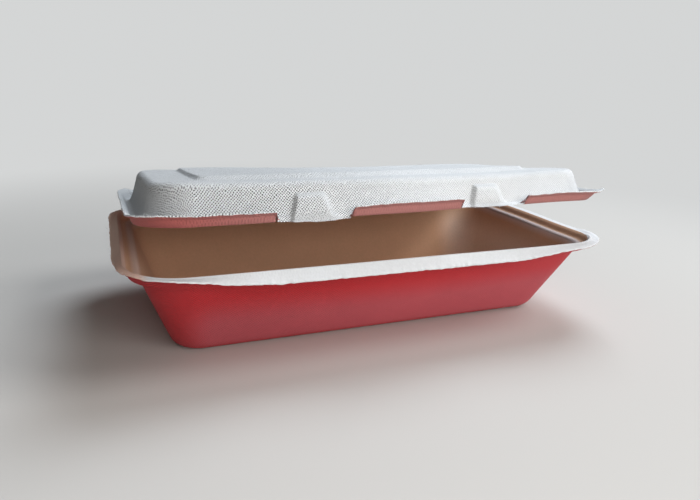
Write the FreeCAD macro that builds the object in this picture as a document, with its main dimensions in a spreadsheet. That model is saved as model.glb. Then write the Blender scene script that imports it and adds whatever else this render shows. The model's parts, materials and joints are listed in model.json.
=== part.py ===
"""Clamshell food container moulded in one piece from bagasse pulp, standing with its lid ajar.

Frame: the origin is the middle of the tray's foot, on the surface it stands on.
+X runs along the length, +Y to the hinge side, +Z up.  Sizes are in millimetres and degrees.
The tray and the lid are one moulding, joined along the back by a band that folds in the middle.
The moulding is parted only at that fold, because the lid swings on it.
"""
import FreeCAD, Part
import math
import os

import Sketcher
from FreeCAD import Placement, Rotation, Vector

DRIVING = {
    # the whole moulding
    "pulp": (0.7, "thickness of the moulded wall"),
    "outline_length": (229.0, "trimmed edge of the tray, along X"),
    "outline_width": (129.0, "trimmed edge of the tray, along Y"),
    "outline_corner": (26.0, "corner radius of the trimmed edge"),
    # tray, with insets measured inwards from its trimmed edge
    "foot_length": (183.6, "outside of the tray where it stands"),
    "foot_width": (72.2, "outside of the tray where it stands"),
    "foot_corner": (12.0, "corner radius at the foot"),
    "foot_round": (7.0, "radius between the floor and the walls, outside"),
    "mouth_inset": (10.0, "inner face of the wall at the ledge"),
    "mouth_corner": (16.0, "corner radius of the mouth"),
    "ledge_height": (38.0, "top of the ledge that takes the lid"),
    "crest_foot_inset": (6.3, "where the ledge turns up into the crest"),
    "crest_inner_inset": (5.2, "inner edge of the crest"),
    "crest_outer_inset": (3.8, "outer edge of the crest"),
    "crest_height": (42.4, "top of the crest"),
    "lip_height": (38.7, "top of the trimmed edge, lower than the crest"),
    # lid, with heights measured up from the bottom of its plug bead
    "stand_height": (46.7, "plug bead above the foot while the lid is level"),
    "lid_mouth_inset": (10.4, "inner face of the lid's wall at the bead"),
    "lid_mouth_corner": (16.5, "corner radius of the lid's mouth"),
    "bead_inset": (7.6, "outer side of the plug bead"),
    "flange_turn_inset": (6.5, "where the bead's side turns into the flange"),
    "flange_turn_height": (3.1, "height of that turn"),
    "flange_inset": (4.8, "trimmed edge of the lid"),
    "flange_height": (4.0, "underside of the lid's trimmed edge"),
    "shoulder_length": (199.6, "outside of the lid at its shoulder"),
    "shoulder_width": (100.0, "outside of the lid at its shoulder"),
    "shoulder_corner": (15.0, "corner radius at the shoulder"),
    "shoulder_height": (13.4, "height of the shoulder"),
    "shoulder_round": (4.5, "radius of the shoulder's edge, outside"),
    "panel_length": (168.0, "raised panel on the lid"),
    "panel_width": (84.0, "raised panel on the lid"),
    "panel_corner": (12.0, "corner radius of the raised panel"),
    "panel_height": (15.8, "height of the raised panel"),
    "panel_spread": (1.6, "how much wider the panel is at its foot, each side"),
    "tab_place": (41.0, "middle of the lid to the middle of a front tab"),
    "tab_width": (32.0, "width of a front tab"),
    "rib_width": (14.0, "width of the rib over a tab, at its foot"),
    "rib_taper": (2.5, "how much narrower the rib is at its top, each side"),
    "rib_height": (9.5, "height of the rib"),
    "rib_depth": (1.5, "how far the rib stands out of the wall"),
    # hinge
    "band_length": (168.0, "folding band, along X"),
    "fold_place": (67.2, "fold line behind the middle of the tray"),
    "fold_height": (45.4, "fold line above the foot"),
    "fold_gap": (0.8, "lid's half of the band to the fold line"),
    "opening": (6.3, "how far the lid stands open"),
}

PLANE_ROLES = {"XY": "XY_Plane", "XZ": "XZ_Plane", "YZ": "YZ_Plane"}
ORIGIN_POINT = (-1, 1)
X_AXIS = -1
WALL_DRAFT = 22.0
ARC_STEPS = 5


def make_sheet(doc):
    """Write the driving sizes to a sheet, one row each, under their own names."""
    sheet = doc.addObject("Spreadsheet::Sheet", "sizes")
    for row, (name, (value, meaning)) in enumerate(DRIVING.items(), start=1):
        sheet.set(f"A{row}", name)
        sheet.set(f"B{row}", str(value))
        sheet.set(f"C{row}", meaning)
        sheet.setAlias(f"B{row}", name)
    doc.recompute()
    return sheet


def add_sketch(body, name, plane, height):
    """An empty sketch on one of the body's own planes, moved off it by an expression."""
    sketch = body.newObject("Sketcher::SketchObject", name)
    role = PLANE_ROLES[plane]
    support = next(part for part in body.Origin.OriginFeatures if part.Role == role)
    sketch.AttachmentSupport = (support, [""])
    sketch.MapMode = "FlatFace"
    sketch.setExpression("AttachmentOffset.Base.z", height)
    return sketch


def bind(sketch, kind, *reference, to):
    """Add a dimension and bind it to an expression."""
    index = sketch.addConstraint(Sketcher.Constraint(kind, *reference, sketch.evalExpression(to)))
    sketch.setExpression(f"Constraints[{index}]", to)


def polygon(body, name, plane, points, height="0"):
    """A closed outline whose corners are pairs of expressions."""
    sketch = add_sketch(body, name, plane, height)
    corners = [Vector(sketch.evalExpression(across), sketch.evalExpression(up), 0) for across, up in points]
    for start, end in zip(corners, corners[1:] + corners[:1]):
        sketch.addGeometry(Part.LineSegment(start, end))
    for index in range(len(corners)):
        following = (index + 1) % len(corners)
        sketch.addConstraint(Sketcher.Constraint("Coincident", index, 2, following, 1))
    for index, (across, up) in enumerate(points):
        bind(sketch, "DistanceX", *ORIGIN_POINT, index, 1, to=across)
        bind(sketch, "DistanceY", *ORIGIN_POINT, index, 1, to=up)
    return sketch


def rounded_outline(body, name, length, width, corner, height):
    """A rounded rectangle about the origin, drawn from the middle of its right side."""
    sketch = add_sketch(body, name, "XY", height)
    half_x = sketch.evalExpression(length) / 2
    half_y = sketch.evalExpression(width) / 2
    radius = sketch.evalExpression(corner)
    start = Vector(half_x, 0, 0)
    lines, arcs = [], []
    previous = start
    for quarter, (side_x, side_y) in enumerate(((1, 1), (-1, 1), (-1, -1), (1, -1))):
        centre = Vector(side_x * (half_x - radius), side_y * (half_y - radius), 0)
        turn = quarter * math.pi / 2
        arc = Part.ArcOfCircle(Part.Circle(centre, Vector(0, 0, 1), radius), turn, turn + math.pi / 2)
        lines.append(sketch.addGeometry(Part.LineSegment(previous, arc.StartPoint)))
        arcs.append(sketch.addGeometry(arc))
        previous = arc.EndPoint
    lines.append(sketch.addGeometry(Part.LineSegment(previous, start)))
    for index, arc in enumerate(arcs):
        sketch.addConstraint(Sketcher.Constraint("Tangent", lines[index], 2, arc, 1))
        sketch.addConstraint(Sketcher.Constraint("Tangent", arc, 2, lines[index + 1], 1))
    sketch.addConstraint(Sketcher.Constraint("Coincident", lines[4], 2, lines[0], 1))
    sketch.addConstraint(Sketcher.Constraint("PointOnObject", lines[0], 1, X_AXIS))
    for index, direction in enumerate(("Vertical", "Horizontal", "Vertical", "Horizontal", "Vertical")):
        sketch.addConstraint(Sketcher.Constraint(direction, lines[index]))
    for other in arcs[1:]:
        sketch.addConstraint(Sketcher.Constraint("Equal", arcs[0], other))
    bind(sketch, "Radius", arcs[0], to=corner)
    bind(sketch, "DistanceX", *ORIGIN_POINT, lines[0], 1, to=f"({length}) / 2")
    bind(sketch, "DistanceX", lines[2], 1, *ORIGIN_POINT, to=f"({length}) / 2")
    bind(sketch, "DistanceY", *ORIGIN_POINT, lines[1], 1, to=f"({width}) / 2")
    bind(sketch, "DistanceY", lines[3], 1, *ORIGIN_POINT, to=f"({width}) / 2")
    return sketch


def loft(body, name, outlines):
    """Join outlines, the lowest first, by straight faces."""
    feature = body.newObject("PartDesign::AdditiveLoft", name)
    feature.Profile = (outlines[0], [""])
    feature.Sections = [(outline, [""]) for outline in outlines[1:]]
    feature.Ruled = True
    body.Document.recompute()
    return feature


def rounded_loft(body, name, sections):
    """Loft rounded rectangles, each given as length, width, corner radius and height."""
    outlines = [rounded_outline(body, f"{name}_{number}", *section) for number, section in enumerate(sections)]
    return loft(body, name, outlines)


def sweep_rim(body, name, section, height):
    """Carry a section round the outline of the moulding."""
    profile = polygon(body, f"{name}_section", "XZ", section)
    path = rounded_outline(body, f"{name}_path", "sizes.outline_length", "sizes.outline_width",
                           "sizes.outline_corner", height)
    feature = body.newObject("PartDesign::AdditivePipe", name)
    feature.Profile = (profile, [""])
    feature.Spine = (path, [""])
    body.Document.recompute()
    return feature


def arc_steps():
    """Points along the arc that joins a flat face to a drafted wall, from the flat face on.

    Each is how far the arc has risen off the face and how far it lies inside the corner that it
    replaces, both as shares of its radius.
    """
    draft = math.radians(WALL_DRAFT)
    for step in range(ARC_STEPS + 1):
        turn = (math.pi / 2 - draft) * step / ARC_STEPS
        yield 1 - math.cos(turn), 1 / math.cos(draft) - math.tan(draft) * math.cos(turn) - math.sin(turn)


def rounded_block(body, name, end, far, radius):
    """A drafted block whose edge is rounded at one end; each end is an outline and its height."""
    sections = []
    for rise, inside in arc_steps():
        share = f"({rise:.4f} * {radius} / abs({far[3]} - ({end[3]})))"
        length, width, corner, height = (f"({near}) + ({away} - ({near})) * {share}" for near, away in zip(end, far))
        sections.append((f"{length} - {2 * inside:.4f} * {radius}", f"{width} - {2 * inside:.4f} * {radius}",
                         f"{corner} - {inside:.4f} * {radius}", height))
    rounded_loft(body, name, (*sections, far))


def pad_band(body, name, section):
    """Stretch a section of the folding band along X, the same each way from the middle."""
    profile = polygon(body, f"{name}_section", "YZ", section)
    feature = body.newObject("PartDesign::Pad", name)
    feature.Profile = (profile, [""])
    feature.SideType = "Symmetric"
    feature.setExpression("Length", "sizes.band_length")
    body.Document.recompute()
    return feature


def from_edge(inset, side="length"):
    """The place of a point on the moulding, given how far it is inside the trimmed edge."""
    return f"sizes.outline_{side} / 2 - ({inset})"


def hollow(body, space):
    """Cut the space inside a shell out of it."""
    feature = body.newObject("PartDesign::Boolean", f"{body.Name}_hollow")
    feature.Type = "Cut"
    feature.addObject(space)
    body.Document.recompute()


def make_tray_space(doc):
    """The space inside the tray, with its floor rounded into the walls."""
    space = doc.addObject("PartDesign::Body", "tray_space")
    mouth = ("sizes.outline_length - 2 * sizes.mouth_inset", "sizes.outline_width - 2 * sizes.mouth_inset",
             "sizes.mouth_corner")
    rounded_block(space, "tray_inside",
                  ("sizes.foot_length - 1.4 * sizes.pulp", "sizes.foot_width - 1.3 * sizes.pulp",
                   "sizes.foot_corner - 0.7 * sizes.pulp", "sizes.pulp"),
                  (*mouth, "sizes.ledge_height"), "(sizes.foot_round - sizes.pulp)")
    rounded_loft(space, "above_tray", (
        (*mouth, "sizes.ledge_height - sizes.pulp / 10"), (*mouth, "sizes.ledge_height + sizes.pulp")))
    return space


def make_tray(doc):
    """The tray: drafted walls on a rounded floor, with a ledge, a crest and a lip round its mouth."""
    body = doc.addObject("PartDesign::Body", "base_tray")
    body.Label = "base_tray"
    rounded_block(body, "tray_outside", ("sizes.foot_length", "sizes.foot_width", "sizes.foot_corner", "0"),
                  ("sizes.outline_length - 2 * sizes.mouth_inset + 2.2 * sizes.pulp",
                   "sizes.outline_width - 2 * sizes.mouth_inset + 2.3 * sizes.pulp",
                   "sizes.mouth_corner + sizes.pulp", "sizes.ledge_height"), "sizes.foot_round")
    hollow(body, make_tray_space(doc))
    sweep_rim(body, "tray_rim", (
        (from_edge("sizes.mouth_inset"), "sizes.ledge_height"),
        (from_edge("sizes.crest_foot_inset"), "sizes.ledge_height"),
        (from_edge("sizes.crest_inner_inset"), "sizes.crest_height"),
        (from_edge("sizes.crest_outer_inset"), "sizes.crest_height"),
        (from_edge("0"), "sizes.lip_height"),
        (from_edge("0"), "sizes.lip_height - 1.2 * sizes.pulp"),
        (from_edge("sizes.crest_outer_inset + 0.3 * sizes.pulp"), "sizes.crest_height - sizes.pulp"),
        (from_edge("sizes.crest_inner_inset - 0.7 * sizes.pulp"), "sizes.crest_height - sizes.pulp"),
        (from_edge("sizes.crest_foot_inset - 0.8 * sizes.pulp"), "sizes.ledge_height - sizes.pulp"),
        (from_edge("sizes.mouth_inset"), "sizes.ledge_height - sizes.pulp")), "sizes.lip_height")
    pad_band(body, "band_tray_half", (
        (from_edge("1.2", "width"), "sizes.lip_height"),
        (from_edge("0.2", "width"), "sizes.lip_height - 0.7 * sizes.pulp"),
        ("sizes.fold_place + 0.48 * sizes.pulp", "sizes.fold_height - 0.18 * sizes.pulp"),
        ("sizes.fold_place - 0.48 * sizes.pulp", "sizes.fold_height + 0.18 * sizes.pulp")))
    return body


def add_ribs(body, name, foot, inwards):
    """The two ribs over the front tabs, drawn inwards by an expression for the space inside them."""
    wall_foot = "sizes.outline_width / 2 - sizes.lid_mouth_inset"
    rib_top = f"sizes.stand_height + sizes.rib_height - {inwards}"
    for side, number in ((-1, 1), (1, 2)):
        middle = f"{side} * sizes.tab_place"
        outlines = []
        for level, taper, back, front in (
                (foot, "0", wall_foot, f"{wall_foot} + sizes.pulp + sizes.rib_depth"),
                (rib_top, "sizes.rib_taper", "sizes.shoulder_width / 2 - sizes.rib_depth",
                 "sizes.shoulder_width / 2 + 1.6 * sizes.rib_depth")):
            reach = f"(sizes.rib_width / 2 - {taper} - {inwards})"
            near = f"-({front} - {inwards})"
            outlines.append(polygon(body, f"{name}_{number}_{len(outlines)}", "XY", (
                (f"{middle} - {reach}", near), (f"{middle} + {reach}", near),
                (f"{middle} + {reach}", f"-({back})"), (f"{middle} - {reach}", f"-({back})")), level))
        loft(body, f"{name}_{number}", outlines)


def cut_tabs(body):
    """Take the flange away over the front tabs, where the wall runs out to a plain edge."""
    front = "sizes.outline_width / 2"
    for side, number in ((-1, 1), (1, 2)):
        middle = f"{side} * sizes.tab_place"
        near, far = f"-({front})", f"-({front} - sizes.bead_inset - 0.7 * sizes.pulp)"
        window = polygon(body, f"tab_window_{number}", "XY", (
            (f"{middle} - sizes.tab_width / 2", near), (f"{middle} + sizes.tab_width / 2", near),
            (f"{middle} + sizes.tab_width / 2", far), (f"{middle} - sizes.tab_width / 2", far)),
            "sizes.stand_height - sizes.pulp")
        pocket = body.newObject("PartDesign::Pocket", f"tab_{number}")
        pocket.Profile = (window, [""])
        pocket.Reversed = True
        pocket.setExpression("Length", "sizes.flange_height + 4 * sizes.pulp")
        body.Document.recompute()


def make_lid_space(doc):
    """The space inside the lid, under its shoulder, its panel and its ribs."""
    space = doc.addObject("PartDesign::Body", "lid_space")
    bead = "sizes.stand_height"
    ceiling = "sizes.stand_height + sizes.shoulder_height - sizes.pulp"
    mouth = ("sizes.outline_length - 2 * sizes.lid_mouth_inset",
             "sizes.outline_width - 2 * sizes.lid_mouth_inset", "sizes.lid_mouth_corner")
    rounded_block(space, "lid_inside",
                  ("sizes.shoulder_length - 1.6 * sizes.pulp", "sizes.shoulder_width - 1.6 * sizes.pulp",
                   "sizes.shoulder_corner - 0.8 * sizes.pulp", ceiling),
                  (*mouth, bead), "(sizes.shoulder_round - sizes.pulp)")
    rounded_loft(space, "under_lid", ((*mouth, f"{bead} - sizes.pulp"), (*mouth, f"{bead} + sizes.pulp / 10")))
    rounded_loft(space, "panel_inside", (
        ("sizes.panel_length + 2 * sizes.panel_spread - 1.6 * sizes.pulp",
         "sizes.panel_width + 2 * sizes.panel_spread - 1.6 * sizes.pulp",
         "sizes.panel_corner + sizes.panel_spread - 0.8 * sizes.pulp", f"{ceiling} - sizes.pulp"),
        ("sizes.panel_length - 1.6 * sizes.pulp", "sizes.panel_width - 1.6 * sizes.pulp",
         "sizes.panel_corner - 0.8 * sizes.pulp", "sizes.stand_height + sizes.panel_height - sizes.pulp")))
    add_ribs(space, "rib_space", f"{bead} - sizes.pulp", "sizes.pulp")
    return space


def make_lid(doc, sheet):
    """The lid: a shallow cover with a raised panel, a plug bead, a flange and two front tabs."""
    body = doc.addObject("PartDesign::Body", "lid_cover")
    body.Label = "lid_cover"
    bead, shoulder = "sizes.stand_height", "sizes.stand_height + sizes.shoulder_height"
    rounded_block(body, "lid_outside",
                  ("sizes.shoulder_length", "sizes.shoulder_width", "sizes.shoulder_corner", shoulder),
                  ("sizes.outline_length - 2 * sizes.lid_mouth_inset + 2.1 * sizes.pulp",
                   "sizes.outline_width - 2 * sizes.lid_mouth_inset + 2.1 * sizes.pulp",
                   "sizes.lid_mouth_corner + sizes.pulp", bead), "sizes.shoulder_round")
    rounded_loft(body, "panel_outside", (
        ("sizes.panel_length + 2 * sizes.panel_spread", "sizes.panel_width + 2 * sizes.panel_spread",
         "sizes.panel_corner + sizes.panel_spread", f"{shoulder} - sizes.pulp"),
        ("sizes.panel_length", "sizes.panel_width", "sizes.panel_corner", "sizes.stand_height + sizes.panel_height")))
    add_ribs(body, "rib", bead, "0")
    hollow(body, make_lid_space(doc))
    sweep_rim(body, "lid_rim", (
        (from_edge("sizes.lid_mouth_inset"), bead),
        (from_edge("sizes.bead_inset"), bead),
        (from_edge("sizes.flange_turn_inset"), f"{bead} + sizes.flange_turn_height"),
        (from_edge("sizes.flange_inset"), f"{bead} + sizes.flange_height"),
        (from_edge("sizes.flange_inset"), f"{bead} + sizes.flange_height + sizes.pulp"),
        (from_edge("sizes.flange_turn_inset + 0.6 * sizes.pulp"),
         f"{bead} + sizes.flange_turn_height + sizes.pulp"),
        (from_edge("sizes.bead_inset + 0.7 * sizes.pulp"), f"{bead} + sizes.pulp"),
        (from_edge("sizes.lid_mouth_inset"), f"{bead} + sizes.pulp")), bead)
    cut_tabs(body)
    pad_band(body, "band_lid_half", (
        (from_edge("sizes.flange_inset + 0.4", "width"), f"{bead} + sizes.flange_height"),
        ("sizes.fold_place - 0.8 * sizes.fold_gap - 0.32 * sizes.pulp",
         "sizes.fold_height + 0.6 * sizes.fold_gap - 0.38 * sizes.pulp"),
        ("sizes.fold_place - 0.8 * sizes.fold_gap + 0.32 * sizes.pulp",
         "sizes.fold_height + 0.6 * sizes.fold_gap + 0.38 * sizes.pulp"),
        (from_edge("sizes.flange_inset", "width"), f"{bead} + sizes.flange_height + sizes.pulp")))
    fold = Vector(0, sheet.fold_place, sheet.fold_height)
    body.Placement = Placement(Vector(), Rotation(Vector(-1, 0, 0), sheet.opening), fold)
    doc.recompute()
    return body


def check(doc, bodies):
    """Stop if any object failed to build, or if a body isn't one valid solid."""
    for item in doc.Objects:
        if "Invalid" in item.State or "Error" in item.State:
            raise RuntimeError(f"{item.Name} did not build: {item.State}")
    for body in bodies:
        shape = body.Shape
        if shape.isNull() or not shape.isValid() or len(shape.Solids) != 1:
            raise RuntimeError(f"{body.Label} is not one valid solid")


def main():
    """Build the document, check it and write one STEP file for each piece."""
    doc = FreeCAD.newDocument("clamshell")
    sheet = make_sheet(doc)
    bodies = [make_tray(doc), make_lid(doc, sheet)]
    doc.recompute()
    check(doc, bodies)
    os.makedirs("parts", exist_ok=True)
    for body in bodies:
        body.Shape.exportStep(os.path.join("parts", f"{body.Label}.step"))
        print(body.Label, "volume", round(body.Shape.Volume), "mm3", body.Shape.BoundBox)


main()
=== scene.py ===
"""A clamshell food container of moulded pulp, standing with its lid ajar.

The tray and the lid are closed sheets of real thickness. Each is laid as rings that follow a
rounded outline, from the middle of the floor or the lid out to the trimmed edge and back beneath.
A folding band joins them along the back, and loose fibres stand on the trimmed edges.
"""

import json
import math

import bpy
import numpy as np
from mathutils import Matrix, Vector


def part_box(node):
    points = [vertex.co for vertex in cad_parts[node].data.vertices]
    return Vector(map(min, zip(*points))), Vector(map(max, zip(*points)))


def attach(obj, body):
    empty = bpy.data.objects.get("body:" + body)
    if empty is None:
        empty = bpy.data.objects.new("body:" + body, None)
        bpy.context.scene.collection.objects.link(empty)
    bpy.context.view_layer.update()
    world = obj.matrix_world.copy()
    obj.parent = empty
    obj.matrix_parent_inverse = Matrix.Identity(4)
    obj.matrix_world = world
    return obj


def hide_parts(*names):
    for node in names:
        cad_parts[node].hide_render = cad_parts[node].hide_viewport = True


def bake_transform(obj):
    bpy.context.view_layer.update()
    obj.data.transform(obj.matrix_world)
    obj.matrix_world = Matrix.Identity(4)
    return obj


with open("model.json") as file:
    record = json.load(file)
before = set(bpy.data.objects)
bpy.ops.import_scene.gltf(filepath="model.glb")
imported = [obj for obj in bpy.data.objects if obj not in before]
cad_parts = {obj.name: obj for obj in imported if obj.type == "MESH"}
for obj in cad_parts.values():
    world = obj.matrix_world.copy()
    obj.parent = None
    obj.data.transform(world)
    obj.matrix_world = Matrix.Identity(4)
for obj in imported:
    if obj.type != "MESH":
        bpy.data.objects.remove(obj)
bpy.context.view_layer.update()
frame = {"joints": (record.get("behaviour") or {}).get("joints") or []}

bl_info = {
    "name": "Pulp Clamshell",
    "version": (1, 0, 0),
    "blender": (4, 5, 0),
    "location": "View3D > Sidebar > Clamshell",
    "description": "Builds a moulded pulp clamshell container around its packed frame",
    "category": "Add Mesh",
}

MM = 0.001
HINGE = frame["joints"][0]
TRAY_LOW, TRAY_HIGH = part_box("base_tray")
WALL_DRAFT = math.radians(22)

# ---------------------------------------------------------------------------------- settings


def length(name, millimetres, description):
    """A length setting."""
    return bpy.props.FloatProperty(
        name=name, description=description, default=millimetres * MM, unit="LENGTH", precision=5)


def angle(name, degrees, description):
    """An angle setting."""
    return bpy.props.FloatProperty(
        name=name, description=description, default=math.radians(degrees), subtype="ANGLE")


def colour(name, red_green_blue, description):
    """A colour setting, given as linear red, green and blue."""
    return bpy.props.FloatVectorProperty(
        name=name, description=description, default=red_green_blue, subtype="COLOR", min=0, max=1)


class SheetShape(bpy.types.PropertyGroup):
    """The moulded sheet itself, the same in every piece."""

    pulp: length("Pulp", 0.7, "Thickness of the moulded wall")
    half_length: length("Half length", TRAY_HIGH.x / MM, "Middle of the tray to its trimmed edge")
    half_width: length("Half width", -TRAY_LOW.y / MM, "Middle of the tray to its trimmed edge")
    corner: length("Corner", 26.0, "Corner radius of the tray's trimmed edge")
    ragged: length("Ragged", 0.16, "How rough the trimmed edges are cut")
    uneven: length("Uneven", 0.20, "How far the trimmed edges wander")
    warp: length("Warp", 0.30, "How far the dried sheet has moved")
    fold_place: length("Fold place", HINGE["pos_m"][1] / MM, "Fold line behind the middle")
    fold_height: length("Fold height", HINGE["pos_m"][2] / MM, "Fold line above the foot")
    opening: angle("Opening", 6.3, "How far the lid stands open")


class TrayShape(bpy.types.PropertyGroup):
    """The tray's sizes, with insets measured inwards from its trimmed edge."""

    foot_length: length("Foot length", 183.6, "Outside of the tray where it stands")
    foot_width: length("Foot width", 72.2, "Outside of the tray where it stands")
    foot_corner: length("Foot corner", 12.0, "Corner radius at the foot")
    foot_round: length("Foot round", 7.0, "Radius between the floor and the walls, outside")
    mouth_inset: length("Mouth inset", 10.0, "Inner face of the wall at the ledge")
    mouth_round: length("Mouth round", 1.1, "Radius of the edge between wall and ledge")
    ledge_height: length("Ledge height", 38.0, "Top of the ledge")
    crest_foot: length("Crest foot inset", 6.3, "Where the ledge turns up into the crest")
    crest_inner: length("Crest inner inset", 5.2, "Inner edge of the crest")
    crest_outer: length("Crest outer inset", 3.8, "Outer edge of the crest")
    crest_height: length("Crest height", 42.4, "Top of the crest")
    lip_height: length("Lip height", 38.7, "Top of the trimmed edge at the ends and the band")
    lip_droop: length("Lip droop", 0.4, "How much lower the edge hangs along the front")
    lip_rise: length("Lip rise", 3.2, "How much higher the edge stands at the corners")
    right_drop: length("Right drop", 1.3, "How much lower the crest is along the right end")
    left_lift: length("Left lift", 1.5, "How much higher the edge stands at the left front corner")
    left_cut: length("Left cut", 1.2, "How much closer the left end is trimmed by its front corner")
    bow: length("Bow", 1.0, "How far the front bulges in the middle")


class LidShape(bpy.types.PropertyGroup):
    """The lid's sizes, with heights measured up from the bottom of its plug bead."""

    stand: length("Stand", 46.7, "Plug bead above the foot while the lid is level")
    mouth_inset: length("Mouth inset", 10.4, "Inner face of the lid's wall at the bead")
    mouth_corner: length("Mouth corner", 16.5, "Corner radius of the lid's mouth")
    bead_inset: length("Bead inset", 7.6, "Outer side of the plug bead")
    turn_inset: length("Turn inset", 6.5, "Where the bead's side turns into the flange")
    turn_height: length("Turn height", 3.1, "Height of that turn")
    flange_inset: length("Flange inset", 4.8, "Trimmed edge of the lid")
    flange_height: length("Flange height", 4.0, "Underside of the lid's trimmed edge")
    shoulder_length: length("Shoulder length", 199.6, "Outside of the lid at its shoulder")
    shoulder_width: length("Shoulder width", 100.0, "Outside of the lid at its shoulder")
    shoulder_corner: length("Shoulder corner", 15.0, "Corner radius at the shoulder")
    shoulder_height: length("Shoulder height", 13.4, "Height of the shoulder")
    shoulder_round: length("Shoulder round", 4.0, "Radius of the shoulder's edge")
    wall_hollow: length("Wall hollow", 0.12, "How far the wall is drawn in at half its height")
    panel_length: length("Panel length", 155.8, "Raised panel")
    panel_width: length("Panel width", 69.5, "Raised panel")
    panel_corner: length("Panel corner", 3.5, "Corner radius of the raised panel")
    panel_height: length("Panel height", 15.8, "Height of the raised panel")
    panel_spread: length("Panel spread", 3.8, "How far the panel's front and back slope out")
    panel_flare: length("Panel flare", 1.2, "How far the panel's ends slope out")
    panel_shift: length("Panel shift", -3.2, "How far the panel sits to the right of the middle")
    right_sag: length("Right sag", 1.4, "How much lower the middle of the right end is")
    tab_reach: length("Tab reach", 55.9, "Trimmed edge of a tab, in front of the middle")
    tip_corner: length("Tip corner", 10.6, "Corner radius of the lid's trimmed edge")
    tip_rise: length("Tip rise", 0.9, "How far the flange turns up at its corners")
    rise_right: angle("Rise to the right", 0.36, "How much higher the lid's right end stands")
    turn_back: angle("Turn back", 0.41, "How much further back the lid's right end sits")
    shift_right: length("Shift right", 0.42, "How far the lid sits to the right of the tray")
    shift_back: length("Shift back", 0.25, "How far the lid sits behind its place")
    rib_foot: length("Rib foot", 8.7, "Half width of a rib at its foot")
    rib_head: length("Rib head", 5.55, "Half width of a rib at its top")
    rib_height: length("Rib height", 9.3, "Height of a rib")
    rib_depth: length("Rib depth", 1.8, "How far a rib stands out of the wall")
    rib_steep: length("Rib steep side", 1.3, "Width of a rib's steep left side")
    rib_slope: length("Rib sloping side", 3.5, "Width of a rib's sloping right side")
    left_rise: length("Left rise", 0.6, "How far the flange stands up at its left front corner")
    right_drop: length("Right drop", 0.7, "How far the flange hangs along the right end")
    back_drop: length("Back drop", 1.0, "How far the flange hangs beside the band")
    bow: length("Bow", 1.0, "How far the front bulges in the middle")


class BandShape(bpy.types.PropertyGroup):
    """The folding band's sizes."""

    half_length: length("Half length", 84.0, "Middle of the band to its end")
    pinch: length("Pinch", 1.5, "How much shorter each end is at the fold")
    crease: length("Crease", 0.22, "How much thinner the band is pressed at the fold")


class EdgeFibres(bpy.types.PropertyGroup):
    """The loose fibres on the trimmed edges."""

    count: bpy.props.IntProperty(
        name="Count", description="Fibres on each edge", default=260, min=1)
    longest: length("Longest", 1.5, "Length of the longest fibre")
    radius: length("Radius", 0.06, "Radius of the longest fibre")


class PulpFinish(bpy.types.PropertyGroup):
    """Colours and surface detail of the pulp."""

    white: colour("White", (0.80, 0.81, 0.82), "Outside of the lid and the tray's rim")
    rose: colour("Rose", (0.44, 0.182, 0.166), "Underside of the lid")
    # This tint is painted shade: the lid's underside is painted darker and redder at its left end,
    # which faces away from the light.
    shaded_rose: colour("Deep rose", (0.40, 0.10, 0.09), "Underside of the lid at its left end")
    red: colour("Red", (0.57, 0.023, 0.030), "Outside of the tray")
    # This tint is a painted reflection of the pale floor low on the tray's walls, and painted light
    # towards the right.
    reflecting_red: colour("Pale red", (0.55, 0.088, 0.108), "Outside of the tray low down")
    brown: colour("Brown", (0.70, 0.42, 0.26), "Inside of the tray")
    # This tint is a painted highlight along the rounded edge of the tray's mouth.
    mouth_highlight_tint: colour("Blush", (0.78, 0.69, 0.69), "Highlighted edge round the tray's mouth")
    # This tint is painted light on the inside of the tray's right end, whose wall gets little
    # light.
    lit_brown: colour("Pale brown", (0.97, 0.77, 0.63), "Inside of the tray at its right end")
    # This tint is painted shade on the rim's left end, which faces away from the light, tinted
    # brown.
    left_rim_shade: colour("Left rim shade", (0.74, 0.50, 0.40), "Rim of the tray at its left end")
    mesh_pitch: length("Mesh pitch", 1.20, "Spacing of the marks that the mould's screen leaves")
    mesh_depth: length("Mesh depth", 0.55, "Depth of those marks")
    # The pits of the screen marks are painted darker by this share, as painted shade in them.
    pit_painted_shade: bpy.props.FloatProperty(
        name="Mesh shade", description="How much darker the marks are", default=0.94, min=0,
        max=1, subtype="FACTOR")
    # Towards the right, where more light falls, the pits' painted shade and their relief grow
    # weaker by this share.
    mesh_fade: bpy.props.FloatProperty(
        name="Mesh fade", description="How much weaker the marks are towards the right",
        default=0.72, min=0, max=1, subtype="FACTOR")


class Studio(bpy.types.PropertyGroup):
    """The camera, the lamps and the floor."""

    eye: bpy.props.FloatVectorProperty(
        name="Eye", description="Where the camera stands", subtype="TRANSLATION",
        default=(-0.111687, -0.265540, 0.116012))
    heading: angle("Heading", 22.69, "Camera's turn from +Y towards +X")
    tilt: angle("Tilt", 17.07, "Camera's tilt below level")
    roll: angle("Roll", -2.35, "Camera's roll about its own line of sight")
    lens: bpy.props.FloatProperty(
        name="Lens", description="Focal length", default=30.15, unit="CAMERA")
    backdrop: colour("Backdrop", (0.66, 0.67, 0.67), "Backdrop that the floor fades into")
    floor: colour("Floor", (0.53, 0.505, 0.475), "Darker clouds of the paper floor")
    pale_floor: colour("Pale floor", (0.55, 0.525, 0.495), "Paler clouds of the paper floor")
    key_power: bpy.props.FloatProperty(
        name="Key power", description="Soft lamp high on the right", default=9.9, unit="POWER")
    top_power: bpy.props.FloatProperty(
        name="Top power", description="Soft lamp above, on the right behind", default=13.2,
        unit="POWER")
    front_power: bpy.props.FloatProperty(
        name="Front power", description="Wide soft lamp in front on the right", default=7.2,
        unit="POWER")
    side_power: bpy.props.FloatProperty(
        name="Side power", description="Weak low lamp in front on the left", default=0.56,
        unit="POWER")
    sky: bpy.props.FloatProperty(
        name="Sky", description="Strength of the even light all round", default=0.05, min=0)


# ------------------------------------------------------------------------- rings and sheets

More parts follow.
